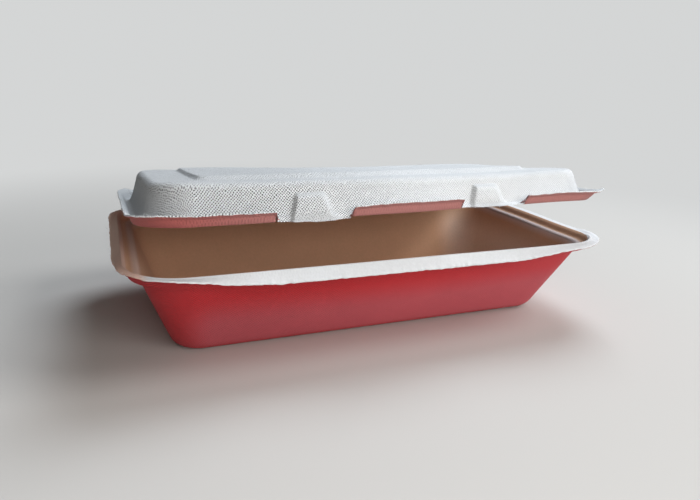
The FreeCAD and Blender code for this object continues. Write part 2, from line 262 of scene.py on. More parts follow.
# Samples along a long side, a short side and a corner of every ring.
LONG_SAMPLES = 320
SHORT_SAMPLES = 120
CORNER_SAMPLES = 62
# Where samples crowd at the sides of the tabs and the ribs, how far to each side and how much,
# on a front whose straight part is twice FLAT_HALF, in millimetres.
BUSY_PLACES = (-56.3, -48.6, -34.6, -25.0, 26.4, 33.6, 48.6, 60.5)
BUSY_REACH = 3.0
BUSY_CROWDING = 1.6
FLAT_HALF = 87.6
# Shortest and longest waves of a trimmed edge: its tears, their heights and its slower wander.
TEARS = (1.3 * MM, 4 * MM)
TEARS_HEIGHT = (1.3 * MM, 5 * MM)
WANDER = (9 * MM, 45 * MM)
# How far beyond the band's ends the back edge takes on its own shape again.
BAND_BLEND = 3 * MM
# How much of a wall's height counts as width when the sheet is laid flat for its screen marks,
# and how far from level each sheet may stand before that begins.
UNFOLD = 0.68
TRAY_SLACK = 1.2 * MM
LID_SLACK = 2.6 * MM
# Seeds of the unevenness, one for each use.
SEEDS = {"tray": 11, "tray edge": 31, "lid": 57, "lid edge": 71, "band": 91,
         "tray fibres": 5, "lid fibres": 11}


def crowded_side():
    """Places along a long side, from -1 up to 1, closer together at the tabs and the ribs."""
    fine = np.linspace(-1.0, 1.0, 4001)
    density = np.ones_like(fine)
    for place in BUSY_PLACES:
        density += BUSY_CROWDING * np.exp(-((fine * FLAT_HALF - place) / BUSY_REACH) ** 2)
    total = np.concatenate([[0.0], np.cumsum((density[1:] + density[:-1]) / 2)])
    return np.interp(np.linspace(0.0, total[-1], LONG_SAMPLES + 1), total, fine)


def ring_pattern():
    """Each sample's share of the straight sides and its outward direction, anticlockwise.

    A ring starts at the left end of the front side.
    """
    side = crowded_side()
    short = np.linspace(-1.0, 1.0, SHORT_SAMPLES + 1)[:-1]
    quarter = np.linspace(0.0, math.pi / 2, CORNER_SAMPLES + 1)[:-1]
    parts = []

    def straight(flat_x, flat_y, turn_x, turn_y):
        parts.append(np.broadcast_arrays(flat_x, flat_y, turn_x, turn_y))

    def corner(side_x, side_y, start):
        parts.append(np.broadcast_arrays(side_x, side_y, np.cos(start + quarter),
                                         np.sin(start + quarter)))

    straight(side[:-1], -1.0, 0.0, -1.0)
    corner(1.0, -1.0, -math.pi / 2)
    straight(1.0, short, 1.0, 0.0)
    corner(1.0, 1.0, 0.0)
    straight(side[:0:-1], 1.0, 0.0, 1.0)
    corner(-1.0, 1.0, math.pi / 2)
    straight(-1.0, -short, -1.0, 0.0)
    corner(-1.0, -1.0, math.pi)
    return [np.concatenate(column) for column in zip(*parts)]


FLAT_X, FLAT_Y, TURN_X, TURN_Y = ring_pattern()
RING = len(FLAT_X)
ON_FRONT = (FLAT_Y == -1.0) & (TURN_Y == -1.0)
ON_BACK = (FLAT_Y == 1.0) & (TURN_Y == 1.0)


def folded_ring():
    """Which sample stands for each one when a ring is folded flat to a line."""
    after_front = LONG_SAMPLES
    back_start = after_front + 2 * CORNER_SAMPLES + SHORT_SAMPLES
    share = np.zeros(RING, int)
    share[:after_front] = np.arange(after_front)
    share[after_front:back_start + 1] = back_start
    share[back_start + 1:back_start + LONG_SAMPLES] = np.arange(LONG_SAMPLES - 1, 0, -1)
    return share


def ease(value, start, end):
    """0 before start and 1 after end, with a soft turn between."""
    share = np.clip((value - start) / (end - start), 0.0, 1.0)
    return share * share * (3.0 - 2.0 * share)


def mix(low, high, share):
    """Straight from low to high."""
    return low + (high - low) * share


def waves(points, seed, shortest, longest, count=26):
    """Unevenness between -1 and 1: sine waves in random directions, the long ones stronger."""
    draw = np.random.default_rng(seed)
    direction = draw.normal(size=(count, 3))
    direction /= np.linalg.norm(direction, axis=1)[:, None]
    wavelength = shortest * (longest / shortest) ** draw.random(count)
    phase = draw.random(count) * 2 * math.pi
    strength = np.sqrt(wavelength / longest)
    total = np.zeros(points.shape[:-1])
    for step in range(count):
        total += strength[step] * np.sin(
            points @ direction[step] * (2 * math.pi / wavelength[step]) + phase[step])
    return total / np.sqrt(np.sum(strength ** 2))


def drift(points, seed, amount, shortest, longest):
    """Move points gently in all three directions."""
    moved = points.copy()
    for axis in range(3):
        moved[..., axis] += amount * 0.5 * waves(points, seed + axis, shortest, longest)
    return moved


def profile(x, places):
    """A height that follows a few given places along the sheet, both in millimetres."""
    return np.interp(x / MM, *np.array(places).T) * MM


class Station:
    """One ring of a sheet: its outline, its height, its paint and its share of the flange."""

    def __init__(self, half_x, half_y, radius, height, paint, share=0.0, under=False):
        self.outline = np.array([half_x, half_y, radius, height])
        self.paint = paint
        self.share = share
        self.under = under


def lay_rings(stations):
    """Points of every ring, as stations by samples by three."""
    half_x, half_y, radius, height = np.array([s.outline for s in stations]).T[..., None]
    x = (half_x - radius) * FLAT_X + radius * TURN_X
    y = (half_y - radius) * FLAT_Y + radius * TURN_Y
    return np.stack([x, y, np.broadcast_to(height, x.shape)], axis=-1)


def flat_rings(half_x, half_y, radius, height, shares, paint, under=False):
    """Rings on a flat face, from its middle line to its edge or back."""
    return [Station(half_x - half_y * (1 - share), half_y * share, radius * share, height, paint,
                    under=under) for share in shares]


def rounded_edge(flat, wall, radius, steps, paint, under=False):
    """Rings over the rounded edge between a flat face and a drafted wall, from the face on.

    flat and wall are outlines where the faces would meet in a sharp edge and where the wall ends.
    """
    rings = []
    for step in range(steps + 1):
        turn = (math.pi / 2 - WALL_DRAFT) * step / steps
        rise = (1 - math.cos(turn)) * radius
        inside = radius * (1 / math.cos(WALL_DRAFT) - math.tan(WALL_DRAFT) * math.cos(turn)
                           - math.sin(turn))
        outline = mix(flat, wall, rise / abs(wall[3] - flat[3]))
        outline = outline - np.array([inside, inside, inside, 0.0])
        rings.append(Station(*outline, paint, under=under))
    return rings


def wall_rings(flat, wall, heights, paint, under=False, hollow=0.0):
    """Rings down or up a drafted wall at given heights, drawn in by its hollow halfway."""
    rings = []
    for height in heights:
        share = (height - flat[3]) / (wall[3] - flat[3])
        drawn_in = hollow * 4 * share * (1 - share) * np.array([1.0, 1.0, 0.0, 0.0])
        rings.append(Station(*(mix(flat, wall, share) - drawn_in), paint, under=under))
    return rings


def finish_mesh(mesh, attributes):
    """Smooth the faces and write each attribute, point by point."""
    mesh.polygons.foreach_set("use_smooth", [True] * len(mesh.polygons))
    for label, values in attributes.items():
        layer = mesh.attributes.new(label, "FLOAT", "POINT")
        layer.data.foreach_set("value", values.astype(np.float32))
    mesh.validate()
    return mesh


def sheet_mesh(name, points, paints, attributes):
    """A closed mesh through every ring, its first and last ring folded flat to a line."""
    rows = len(points)
    index = np.arange(rows * RING).reshape(rows, RING)
    folded = folded_ring()
    index[0] = folded
    index[-1] = (rows - 1) * RING + folded
    following = np.roll(index, -1, axis=1)
    faces, materials = [], []
    for row in range(rows - 1):
        near, far = index[row], index[row + 1]
        near_next, far_next = following[row], following[row + 1]
        quads = np.stack([near, far, far_next, near_next], axis=-1)
        shut = (near == near_next) | (far == far_next)
        faces.extend(quads[~shut].tolist())
        corner = np.where(near == near_next, far_next, near_next)
        faces.extend(np.stack([near, far, corner], axis=-1)[shut].tolist())
        materials.extend([paints[row]] * RING)
    used = np.unique(index)
    place = np.zeros(rows * RING, int)
    place[used] = np.arange(len(used))
    flat_points = points.reshape(-1, 3)[used]
    mesh = bpy.data.meshes.new(name)
    mesh.from_pydata(flat_points.tolist(), [], [[int(place[v]) for v in face] for face in faces])
    mesh.polygons.foreach_set("material_index", materials)
    return finish_mesh(mesh, {
        label: values.reshape(-1)[used] for label, values in attributes.items()})


def add_piece(name, mesh, materials):
    """Put a mesh in the scene with its materials, replacing an earlier build of it."""
    old = bpy.data.objects.get(name)
    if old:
        bpy.data.objects.remove(old)
    piece = bpy.data.objects.new(name, mesh)
    for material in materials:
        mesh.materials.append(material)
    bpy.context.scene.collection.objects.link(piece)
    return piece


def flat_places(points, level, slack):
    """Where each point would lie if the walls were unfolded level with the middle of the sheet.

    Points less than slack above or below that level count as lying in it.
    """
    unfolded = UNFOLD * np.maximum(np.abs(points[..., 2] - level) - slack, 0)
    return {"flat_x": points[..., 0] + TURN_X * unfolded,
            "flat_y": points[..., 1] + TURN_Y * unfolded}


def ring_shares(stations):
    """Each ring's share of the flange, as a column."""
    return np.array([s.share for s in stations])[:, None]


def trimmed_ring(stations, points):
    """The points along the trimmed edge."""
    return points[next(row for row, station in enumerate(stations) if station.share == 1.0)]


def in_band(band, x):
    """1 where the back edge runs into the folding band, 0 beyond its ends."""
    return ON_BACK * (1 - ease(np.abs(x), band.half_length, band.half_length + BAND_BLEND))


def trim_edge(points, stations, sheet, band, seed):
    """Roughen the trimmed edge: fine tears and slower wander, but not where the band joins."""
    edge = ease(ring_shares(stations), 0.55, 1.0)
    rim = points[np.argmax(edge[:, 0])]
    free = 1 - in_band(band, rim[:, 0])
    tears = sheet.ragged * waves(rim, seed, *TEARS, 40)
    wander = sheet.uneven * waves(rim, seed + 1, *WANDER)
    outward = edge * free * (tears + 0.5 * wander)
    points[..., 0] += outward * TURN_X
    points[..., 1] += outward * TURN_Y
    points[..., 2] += edge * free * (
        0.8 * wander + 0.5 * sheet.ragged * waves(rim, seed + 2, *TEARS_HEIGHT, 40))


# ------------------------------------------------------------------------------------- tray

INSIDE, OUTSIDE = 0, 1
# Where the lip lifts at the left front corner, and where the left end is trimmed closest.
LIFT_PLACE, LIFT_REACH = -104 * MM, 20 * MM
CUT_PLACE, CUT_REACH = -42 * MM, 13 * MM


def lip_slope(tray, share):
    """Inset and height on the lip, by share of the way from the crest to the trimmed edge."""
    height = mix(tray.crest_height - 0.35 * MM, tray.lip_height, share)
    return tray.crest_outer * (1 - share), height


def ledge_above(tray):
    """Inset, height and share of each ring from the mouth out to the trimmed edge."""
    edge, top, lip = tray.mouth_round, tray.ledge_height, tray.lip_height
    foot, inner, crest = tray.crest_foot, tray.crest_inner, tray.crest_height
    rings = []
    for turn in (25, 50, 75):
        across = edge * (1 - math.cos(math.radians(turn)))
        rings.append((tray.mouth_inset + 0.35 * edge * (1 - turn / 90) - across,
                      top - edge + edge * math.sin(math.radians(turn)), 0.0))
    rings += [(tray.mouth_inset - 1.25 * edge, top, 0.0), (foot + 0.9 * MM, top, 0.0),
              (foot + 0.25 * MM, top + 0.2 * MM, 0.0), (foot - 0.25 * MM, top + 0.9 * MM, 0.0),
              (inner + 0.6 * MM, crest - 2.3 * MM, 0.0), (inner + 0.25 * MM, crest - 1.3 * MM, 0.0),
              (inner - 0.2 * MM, crest - 0.6 * MM, 0.0),
              (inner - 0.75 * MM, crest - 0.15 * MM, 0.0),
              (tray.crest_outer + 0.25 * MM, crest, 0.0)]
    rings += [(*lip_slope(tray, share), share) for share in (0.03, 0.2, 0.45, 0.7, 0.9)]
    return rings + [(0.12 * MM, lip + 0.06 * MM, 0.98), (0.0, lip - 0.1 * MM, 1.0)]


def ledge_beneath(tray, pulp):
    """The same from the trimmed edge back to the outside of the wall."""
    top, lip, crest = tray.ledge_height - pulp, tray.lip_height - pulp, tray.crest_height - pulp
    behind_mouth = tray.mouth_inset - 1.1 * pulp
    rings = [(0.0, lip + 0.12 * MM, 1.0), (0.14 * MM, lip, 0.98)]
    for share in (0.9, 0.6, 0.25):
        inset, height = lip_slope(tray, share)
        rings.append((inset, height - pulp, share))
    return rings + [(tray.crest_outer + 0.3 * pulp, crest, 0.0),
                    (tray.crest_inner - 0.7 * pulp, crest, 0.0),
                    (tray.crest_foot - 0.8 * pulp, top + 0.3 * MM, 0.0),
                    (tray.crest_foot - 0.5 * pulp + 0.5 * MM, top, 0.0),
                    (behind_mouth - 0.6 * MM, top, 0.0),
                    (behind_mouth - 0.1 * MM, top - 0.4 * MM, 0.0)]


def tray_stations(sheet, tray):
    """The tray's rings: floor, wall, ledge, crest and lip above; the same again beneath."""
    pulp, top = sheet.pulp, tray.ledge_height

    def rim(inset, height, share, paint, under):
        return Station(sheet.half_length - inset, sheet.half_width - inset, sheet.corner - inset,
                       height, paint, share, under)

    foot = np.array([tray.foot_length / 2, tray.foot_width / 2, tray.foot_corner, 0.0])
    inner_foot = foot - np.array([0.7 * pulp, 0.65 * pulp, 0.7 * pulp, -pulp])
    mouth = rim(tray.mouth_inset, top, 0.0, INSIDE, False).outline
    outer_top = mouth + np.array([1.1 * pulp, 1.15 * pulp, pulp, 0.0])
    inner_round = rounded_edge(inner_foot, mouth, tray.foot_round - pulp, 6, INSIDE)
    outer_round = rounded_edge(foot, outer_top, tray.foot_round, 6, OUTSIDE, True)
    inner_heights = np.linspace(9 * MM, top - tray.mouth_round, 9)
    outer_heights = np.linspace(top - 2.2 * MM, 7 * MM, 9)
    shares = (0.0, 0.1, 0.25, 0.45, 0.65, 0.85)

    rings = flat_rings(*inner_round[0].outline, shares, INSIDE) + inner_round
    rings += wall_rings(inner_foot, mouth, inner_heights, INSIDE)
    rings += [rim(*place, INSIDE, False) for place in ledge_above(tray)]
    rings += [rim(*place, OUTSIDE, True) for place in ledge_beneath(tray, pulp)]
    rings += wall_rings(foot, outer_top, outer_heights, OUTSIDE, True)
    rings += outer_round[::-1]
    rings += flat_rings(*outer_round[0].outline, shares[::-1], OUTSIDE, True)
    return rings


def right_end(points):
    """1 along the middle of the right end, 0 elsewhere."""
    near_middle = 1 - ease(np.abs(points[..., 1]), 40 * MM, 56 * MM)
    return ease(points[..., 0], 97 * MM, 104 * MM) * near_middle


def tray_lip_height(tray, points, band):
    """How much the trimmed edge is lifted or drooped at each place round the rim."""
    x, y = points[..., 0], points[..., 1]
    along_front = ease(np.abs(x), 54 * MM, 94 * MM) * ease(np.abs(y), 40 * MM, 62 * MM)
    along_end = ease(np.abs(y), 16 * MM, 46 * MM) * ease(np.abs(x), 96 * MM, 108 * MM)
    corner = np.maximum(0.85 * along_front, along_end)
    corner = np.maximum(corner, 0.65 * right_end(points))
    droop = ease(-y, 50 * MM, 60 * MM) * (1 - ease(np.abs(x), 20 * MM, 100 * MM))
    left = np.exp(-((x - LIFT_PLACE) / LIFT_REACH) ** 2) * ease(-y, 40 * MM, 58 * MM)
    shape = tray.lip_rise * corner - tray.lip_droop * droop + tray.left_lift * left
    return shape * (1 - in_band(band, x))


def bulge(points, amount, half):
    """How far the front stands out, most in the middle and nothing at half the length."""
    x, y = points[..., 0], points[..., 1]
    return amount * ease(-y, 20 * MM, 45 * MM) * np.clip(1 - (x / half) ** 2, 0, 1)


def build_tray(sheet, tray, band):
    """Rings, flat places and points of the tray."""
    stations = tray_stations(sheet, tray)
    points = lay_rings(stations)
    share = ring_shares(stations)
    crest = (1 - share) * ease(points[..., 2], tray.ledge_height + MM, tray.crest_height)
    points[..., 2] -= tray.right_drop * crest * right_end(points)
    points[..., 2] += share * tray_lip_height(tray, points, band)
    rise = np.clip(points[..., 2] / tray.ledge_height, 0, 1)
    points[..., 1] -= rise * bulge(points, tray.bow, 110 * MM)
    anchored = 1 - in_band(band, points[..., 0]) * ease(rise, 0.9, 1.0)
    moved = drift(points, SEEDS["tray"], sheet.warp, 35 * MM, 120 * MM)
    points += (moved - points) * (rise * anchored)[..., None]
    cut = tray.left_cut * (0.35 + np.exp(-((points[..., 1] - CUT_PLACE) / CUT_REACH) ** 2))
    points[..., 0] += share * (TURN_X < -0.3) * cut
    trim_edge(points, stations, sheet, band, SEEDS["tray edge"])
    points[..., 2] = np.maximum(points[..., 2], 0)
    return stations, flat_places(points, 0, TRAY_SLACK), points


def rim_paint(stations, points, tray):
    """How white the rim is and how strong the painted highlight along the mouth's rounded edge is,
    ring by ring.
    """
    white = np.zeros(points.shape[:2])
    highlight_share = np.zeros(points.shape[:2])
    middle = tray.mouth_inset - 0.5 * tray.mouth_round
    for row, station in enumerate(stations):
        if station.under:
            white[row] = station.share == 1.0
            continue
        inset = TRAY_HIGH.x - station.outline[0]
        start = tray.crest_inner - 1.2 * MM * right_end(points[row])
        white[row] = 1 - ease(inset, start, start + 0.55 * MM)
        # The painted highlight lies along the rounded edge between the wall and the ledge.
        below = min(0.0, station.outline[3] - tray.ledge_height + 0.3 * MM)
        highlight_share[row] = 1 - ease(math.hypot(inset - middle, below), 1.1 * MM, 2.0 * MM)
    return white, highlight_share


# -------------------------------------------------------------------------------------- lid

LID_TOP, LID_UNDER = 0, 1
# Samples round the ring over which the lid's warp and its flange's waver are averaged.
SOFTENING = 31
# Places along the lid in millimetres, in pairs with the height or the further reach there.
TABS = (
    {"left": -55.7, "turn": -25.8, "right": -24.5,
     "edge": ((-54, -0.1), (-40, -1.1), (-27, -0.6)), "reach": ((-54, 0), (-27, 0))},
    {"left": 26.4, "turn": 58.0, "right": 59.4,
     "edge": ((27, 0.6), (45, 0.5), (59, 0.9)), "reach": ((27, 0), (46, 0.2), (59, 2.2))})
RIBS = (-41.5, 40.3)
PANEL_FRONT = ((-80, 16.6), (-37, 16.6), (4, 16.3), (40, 16.1), (78, 16.0))
PANEL_BACK = ((-78, 16.3), (-30, 14.9), (14, 13.5), (45, 13.0), (80, 13.1))
SHOULDER_FRONT = ((-92, 15.6), (-72, 14.8), (0, 14.3), (50, 13.8), (74, 14.3), (97, 14.9))
SHOULDER_BACK = ((-92, 15.3), (-70, 14.2), (0, 13.0), (97, 13.0))
FLANGE_WAVER = ((-100, 0), (-92, -0.15), (-63, -0.25), (-25, 0), (-5, 0.4), (9, 0.6), (24, 0.5),
                (86, 0.5), (99, 0.2))
BEAD_WAVER = ((-100, 0), (-91, -0.2), (-62, -0.2), (-24, 0), (-4, 0), (26, 0.35), (89, 0.35),
              (100, 0))
# How much of the screen marks is smoothed away: on the ends, at the corners, on top, beside a rib.
END_SMOOTH, CORNER_SMOOTH, TOP_SMOOTH, FLANK_SMOOTH = 0.42, 0.46, 0.45, 0.7


def panel_step(panel, lid, inward, lower, paint, under):
    """Rings over the step from the raised panel down to the lid's top."""
    rise = lid.panel_height - lid.shoulder_height
    rings = []
    for share in (0.0, 0.12, 0.3, 0.5, 0.7, 0.88, 1.0):
        ends = mix(-0.5 * MM, lid.panel_flare + 0.5 * MM, share) - inward
        sides = mix(-0.9 * MM, lid.panel_spread + 0.9 * MM, share) - inward
        height = lid.shoulder_height + rise * float(1 - ease(share, 0.05, 0.95)) - lower
        rings.append(Station(panel[0] + ends, panel[1] + sides, panel[2] + 0.6 * sides, height,
                             paint, under=under))
    return rings


def flange_above(sheet, lid):
    """Inset, height and share of each ring from the lid's wall out to its trimmed edge."""
    pulp, bead, turn, edge = sheet.pulp, lid.bead_inset, lid.turn_inset, lid.flange_inset
    foot = lid.mouth_inset - 1.05 * pulp
    return ((foot + 0.38 * MM, 1.35 * MM, 0.06), (foot + 0.05 * MM, 0.92 * MM, 0.14),
            (foot - 0.55 * MM, pulp, 0.22), (bead + 1.1 * pulp, pulp, 0.3),
            (bead + 0.6 * pulp, pulp + 0.18 * MM, 0.38),
            (mix(bead, turn, 0.35) + 0.6 * pulp, 1.9 * MM, 0.5),
            (mix(bead, turn, 0.8) + 0.6 * pulp, 3.1 * MM, 0.62),
            (turn + 0.35 * pulp, lid.turn_height + 0.85 * pulp, 0.72),
            (turn - 0.35 * pulp, lid.turn_height + 1.25 * pulp, 0.8),
            (mix(turn, edge, 0.65), lid.flange_height + 0.7 * pulp, 0.9),
            (edge + 0.14 * MM, lid.flange_height + pulp, 0.98),
            (edge, lid.flange_height + pulp - 0.12 * MM, 1.0))


def flange_beneath(lid):
    """The same from the trimmed edge back to the foot of the wall's inner face."""
    bead, turn, edge = lid.bead_inset, lid.turn_inset, lid.flange_inset
    return ((edge, lid.flange_height + 0.12 * MM, 1.0), (edge + 0.14 * MM, lid.flange_height, 0.98),
            (mix(turn, edge, 0.6), mix(lid.turn_height, lid.flange_height, 0.6), 0.9),
            (turn - 0.3 * MM, lid.turn_height + 0.1 * MM, 0.8),
            (turn + 0.3 * MM, lid.turn_height - 0.1 * MM, 0.75),
            (turn + 0.35 * MM, lid.turn_height - 0.8 * MM, 0.68),
            (mix(bead, turn, 0.4), 1.3 * MM, 0.55), (bead - 0.05 * MM, 0.45 * MM, 0.45),
            (bead + 0.35 * MM, 0.06 * MM, 0.36), (bead + 1.2 * MM, 0.0, 0.28),
            (lid.mouth_inset - 0.5 * MM, 0.08 * MM, 0.2),
            (lid.mouth_inset - 0.02 * MM, 0.6 * MM, 0.1))


def lid_stations(sheet, lid):
    """The lid's rings: panel, shoulder, wall, channel and flange above; the same beneath."""
    pulp = sheet.pulp

    def rim(inset, height, share, paint, under):
        corner = mix(sheet.corner - inset, lid.tip_corner, float(ease(share, 0.35, 1.0)))
        return Station(sheet.half_length - inset, sheet.half_width - inset, corner, height, paint,
                       share, under)

    mouth = np.array([sheet.half_length - lid.mouth_inset, sheet.half_width - lid.mouth_inset,
                      lid.mouth_corner, 0.0])
    outer_foot = mouth + np.array([1.05 * pulp, 1.05 * pulp, pulp, 0.0])
    shoulder = np.array([lid.shoulder_length / 2, lid.shoulder_width / 2, lid.shoulder_corner,
                         lid.shoulder_height])
    inner_shoulder = shoulder - np.array([0.8 * pulp, 0.8 * pulp, 0.8 * pulp, pulp])
    panel = np.array([lid.panel_length / 2, lid.panel_width / 2, lid.panel_corner])
    shares = (0.0, 0.08, 0.2, 0.36, 0.54, 0.72, 0.88)
    outer_heights = np.array((10.1, 9.75, 9.4, 9.05, 8.4, 7.2, 5.8, 4.4, 3.2, 2.2)) * MM
    inner_heights = np.array((1.6, 3.0, 4.6, 6.4, 8.2, 8.8, 9.3)) * MM

    top_step = panel_step(panel, lid, 0.0, 0.0, LID_TOP, False)
    rings = flat_rings(*top_step[0].outline, shares, LID_TOP) + top_step
    rings += rounded_edge(shoulder, outer_foot, lid.shoulder_round, 6, LID_TOP)
    rings += wall_rings(shoulder, outer_foot, outer_heights, LID_TOP, hollow=lid.wall_hollow)
    rings += [rim(*place, LID_TOP, False) for place in flange_above(sheet, lid)]
    rings += [rim(*place, LID_UNDER, True) for place in flange_beneath(lid)]
    rings += wall_rings(inner_shoulder, mouth, inner_heights, LID_UNDER, True, lid.wall_hollow)
    inner_edge = rounded_edge(inner_shoulder, mouth, lid.shoulder_round - pulp, 5, LID_UNDER, True)
    rings += inner_edge[::-1]
    under_step = panel_step(panel, lid, 0.5 * pulp, pulp, LID_UNDER, True)[::-1]
    rings += under_step
    rings += flat_rings(*under_step[-1].outline, shares[::-1], LID_UNDER, True)
    return rings


def rib_swell(lid, x, z):
    """How far the wall is pushed out over the ribs."""
    share = np.clip(z / lid.rib_height, 0, 1)
    half = mix(lid.rib_foot, lid.rib_head, share)
    flare = 1 + 0.6 * (1 - ease(share, 0.0, 0.35))
    depth = lid.rib_depth * mix(0.6, 1.2, ease(share, -0.15, 0.5))
    top = 1 - ease(z, lid.rib_height - 0.6 * MM, lid.rib_height + 0.7 * MM)
    total = np.zeros_like(x)
    for middle in RIBS:
        away = x - middle * MM
        sloping = away > 0
        flank = np.where(sloping, lid.rib_slope * flare, lid.rib_steep)
        start = half - np.where(sloping, 1.4 * MM, 0.9 * MM)
        total += 1 - ease(np.abs(away), start, start + flank)
    return total * depth * top


def shape_tabs(points, stations, sheet, lid):
    """Turn the flange down over the front tabs, with a torn left end and a flowing right end.

    Returns how plainly the torn pulp shows at each point.
    """
    share = ring_shares(stations)
    under = np.array([s.under for s in stations])[:, None]
    x = points[..., 0].copy()
    torn = np.zeros_like(x)
    start_y = -(sheet.half_width - lid.mouth_inset + 0.35 * MM)
    for tab in TABS:
        left, turn, right = tab["left"] * MM, tab["turn"] * MM, tab["right"] * MM
        entry = np.clip((x - left + 0.9 * MM) / MM, 0, 1)
        passing = ease(x, turn, right)
        torn += 4 * entry * (1 - entry) * ON_FRONT * (share > 0.2)
        torn += 4 * passing * (1 - passing) * ON_FRONT * (share > 0.45)
        inside = entry * (1 - passing) * ON_FRONT * (share > 0)
        reach = lid.tab_reach + profile(x, tab["reach"])
        target_y = mix(start_y, -reach, share) + under * sheet.pulp
        target_z = mix(1.5 * MM, profile(x, tab["edge"]), share) - under * 0.1 * MM
        points[..., 1] = mix(points[..., 1], target_y, inside)
        points[..., 2] = mix(points[..., 2], target_z, inside)
    return torn


def lid_warp(points, z, lid):
    """How far the dried lid stands above or below its moulded heights.

    z is the height of the top face over each point.
    """
    x, y = points[..., 0], points[..., 1]
    back = np.clip(y / lid.panel_width + 0.5, -0.1, 1.1)
    panel = mix(profile(x, PANEL_FRONT), profile(x, PANEL_BACK), back) - lid.panel_height
    back = np.clip(y / lid.shoulder_width + 0.5, 0.0, 1.0)
    shoulder = mix(profile(x, SHOULDER_FRONT), profile(x, SHOULDER_BACK), back)
    sag = ease(x, 76 * MM, 90 * MM) * np.exp(-((y + 2 * MM) / (23 * MM)) ** 2)
    shoulder -= lid.shoulder_height + lid.right_sag * sag
    on_panel = ease(z, lid.shoulder_height - 0.3 * MM, lid.panel_height - 0.3 * MM)
    return mix(shoulder, panel, on_panel) * ease(z, 4 * MM, lid.shoulder_height)


def soften(values, width):
    """Average each row with its neighbours round the ring."""
    kernel = np.hanning(width)
    kernel /= kernel.sum()
    half = width // 2
    padded = np.concatenate([values[..., -half:], values, values[..., :half]], axis=-1)
    softened = np.apply_along_axis(lambda row: np.convolve(row, kernel, "valid"), -1, padded)
    return softened[..., :RING]


def flange_wander(points, stations, lid):
    """Small rises and falls of the flange and the bead, and the flange's upturned corners."""
    x, y = points[..., 0], points[..., 1]
    share = ring_shares(stations)
    waver = mix(profile(x, BEAD_WAVER), profile(x, FLANGE_WAVER), ease(share, 0.45, 0.85))
    waver = waver * ease(-y, 44 * MM, 52 * MM) * (share > 0)
    tip = (2 * TURN_X * TURN_Y) ** 2
    turned_up = tip * ((TURN_X > 0) | (TURN_Y > 0))
    left_corner = ease(-x, 84 * MM, 96 * MM) * ease(-y, 40 * MM, 50 * MM)
    right_side = ease(x, 96 * MM, 106 * MM) * (1 - tip)
    beside_band = ease(y, 52 * MM, 58 * MM) * ease(np.abs(x), 86 * MM, 94 * MM) * (1 - tip)
    lift = lid.tip_rise * turned_up + lid.left_rise * left_corner
    return waver + ease(share, 0.5, 1.0) * (
        lift - lid.right_drop * right_side - lid.back_drop * beside_band)


def skew(points, sheet, lid, weight=1.0):
    """Set the lid askew on its fold: its right end higher and further back."""
    x = points[..., 0].copy()
    behind = points[..., 1] - sheet.fold_place
    points[..., 0] += weight * (lid.shift_right - behind * math.tan(lid.turn_back))
    points[..., 1] += weight * (lid.shift_back + x * math.tan(lid.turn_back))
    points[..., 2] += weight * x * math.tan(lid.rise_right)
    return points


def swing(points, sheet, turn):
    """Turn points about the fold line, front upwards."""
    y = points[..., 1] - sheet.fold_place
    z = points[..., 2] - sheet.fold_height
    moved = points.copy()
    moved[..., 1] = sheet.fold_place + y * math.cos(turn) + z * math.sin(turn)
    moved[..., 2] = sheet.fold_height - y * math.sin(turn) + z * math.cos(turn)
    return moved


def lid_smoothness(z, flank):
    """How much of the screen marks is smoothed away, by height and place on the lid."""
    turned = END_SMOOTH * ease(np.abs(TURN_X), 0.02, 0.2)
    turned = turned + CORNER_SMOOTH * ease(np.abs(TURN_X), 0.6, 0.95)
    turned = turned * (1 - ease(z, 11 * MM, 13.2 * MM))
    return np.maximum(np.maximum(turned, TOP_SMOOTH * ease(z, 12 * MM, 13.5 * MM)),
                      FLANK_SMOOTH * flank)


def build_lid(sheet, lid, band):
    """Rings, attributes and points of the lid, standing open."""
    stations = lid_stations(sheet, lid)
    points = lay_rings(stations)
    panel_rows = np.array([s.outline[0] for s in stations]) < lid.panel_length / 2 + 3 * MM
    points[panel_rows, :, 0] += lid.panel_shift
    under = np.array([s.under for s in stations])[:, None]
    top_height = points[..., 2] + under * sheet.pulp
    points[..., 2] += soften(lid_warp(points, top_height, lid), SOFTENING)
    points[..., 2] += soften(flange_wander(points, stations, lid), SOFTENING)
    torn = shape_tabs(points, stations, sheet, lid)
    x, z = points[..., 0], points[..., 2]
    swell = rib_swell(lid, x, z) * ((z < 11 * MM) & ON_FRONT)
    points[..., 1] -= swell
    halfway = swell / (1.2 * lid.rib_depth)
    points[..., 1] -= bulge(points, lid.bow, 106 * MM)
    anchored = 1 - in_band(band, x) * (1 - ease(z, 4 * MM, 9 * MM))
    moved = drift(points, SEEDS["lid"], sheet.warp, 30 * MM, 110 * MM)
    points += (moved - points) * anchored[..., None]
    trim_edge(points, stations, sheet, band, SEEDS["lid edge"])
    marks = {"torn": torn, "smooth": lid_smoothness(points[..., 2], 4 * halfway * (1 - halfway)),
             **flat_places(points, lid.panel_height, LID_SLACK)}
    points[..., 2] += lid.stand
    return stations, marks, skew(swing(points, sheet, sheet.opening), sheet, lid)


# ------------------------------------------------------------------------------------- band

# Columns along the band, and steps across it from the tray to the lid.
BAND_COLUMNS = 241
BAND_STEPS = 45


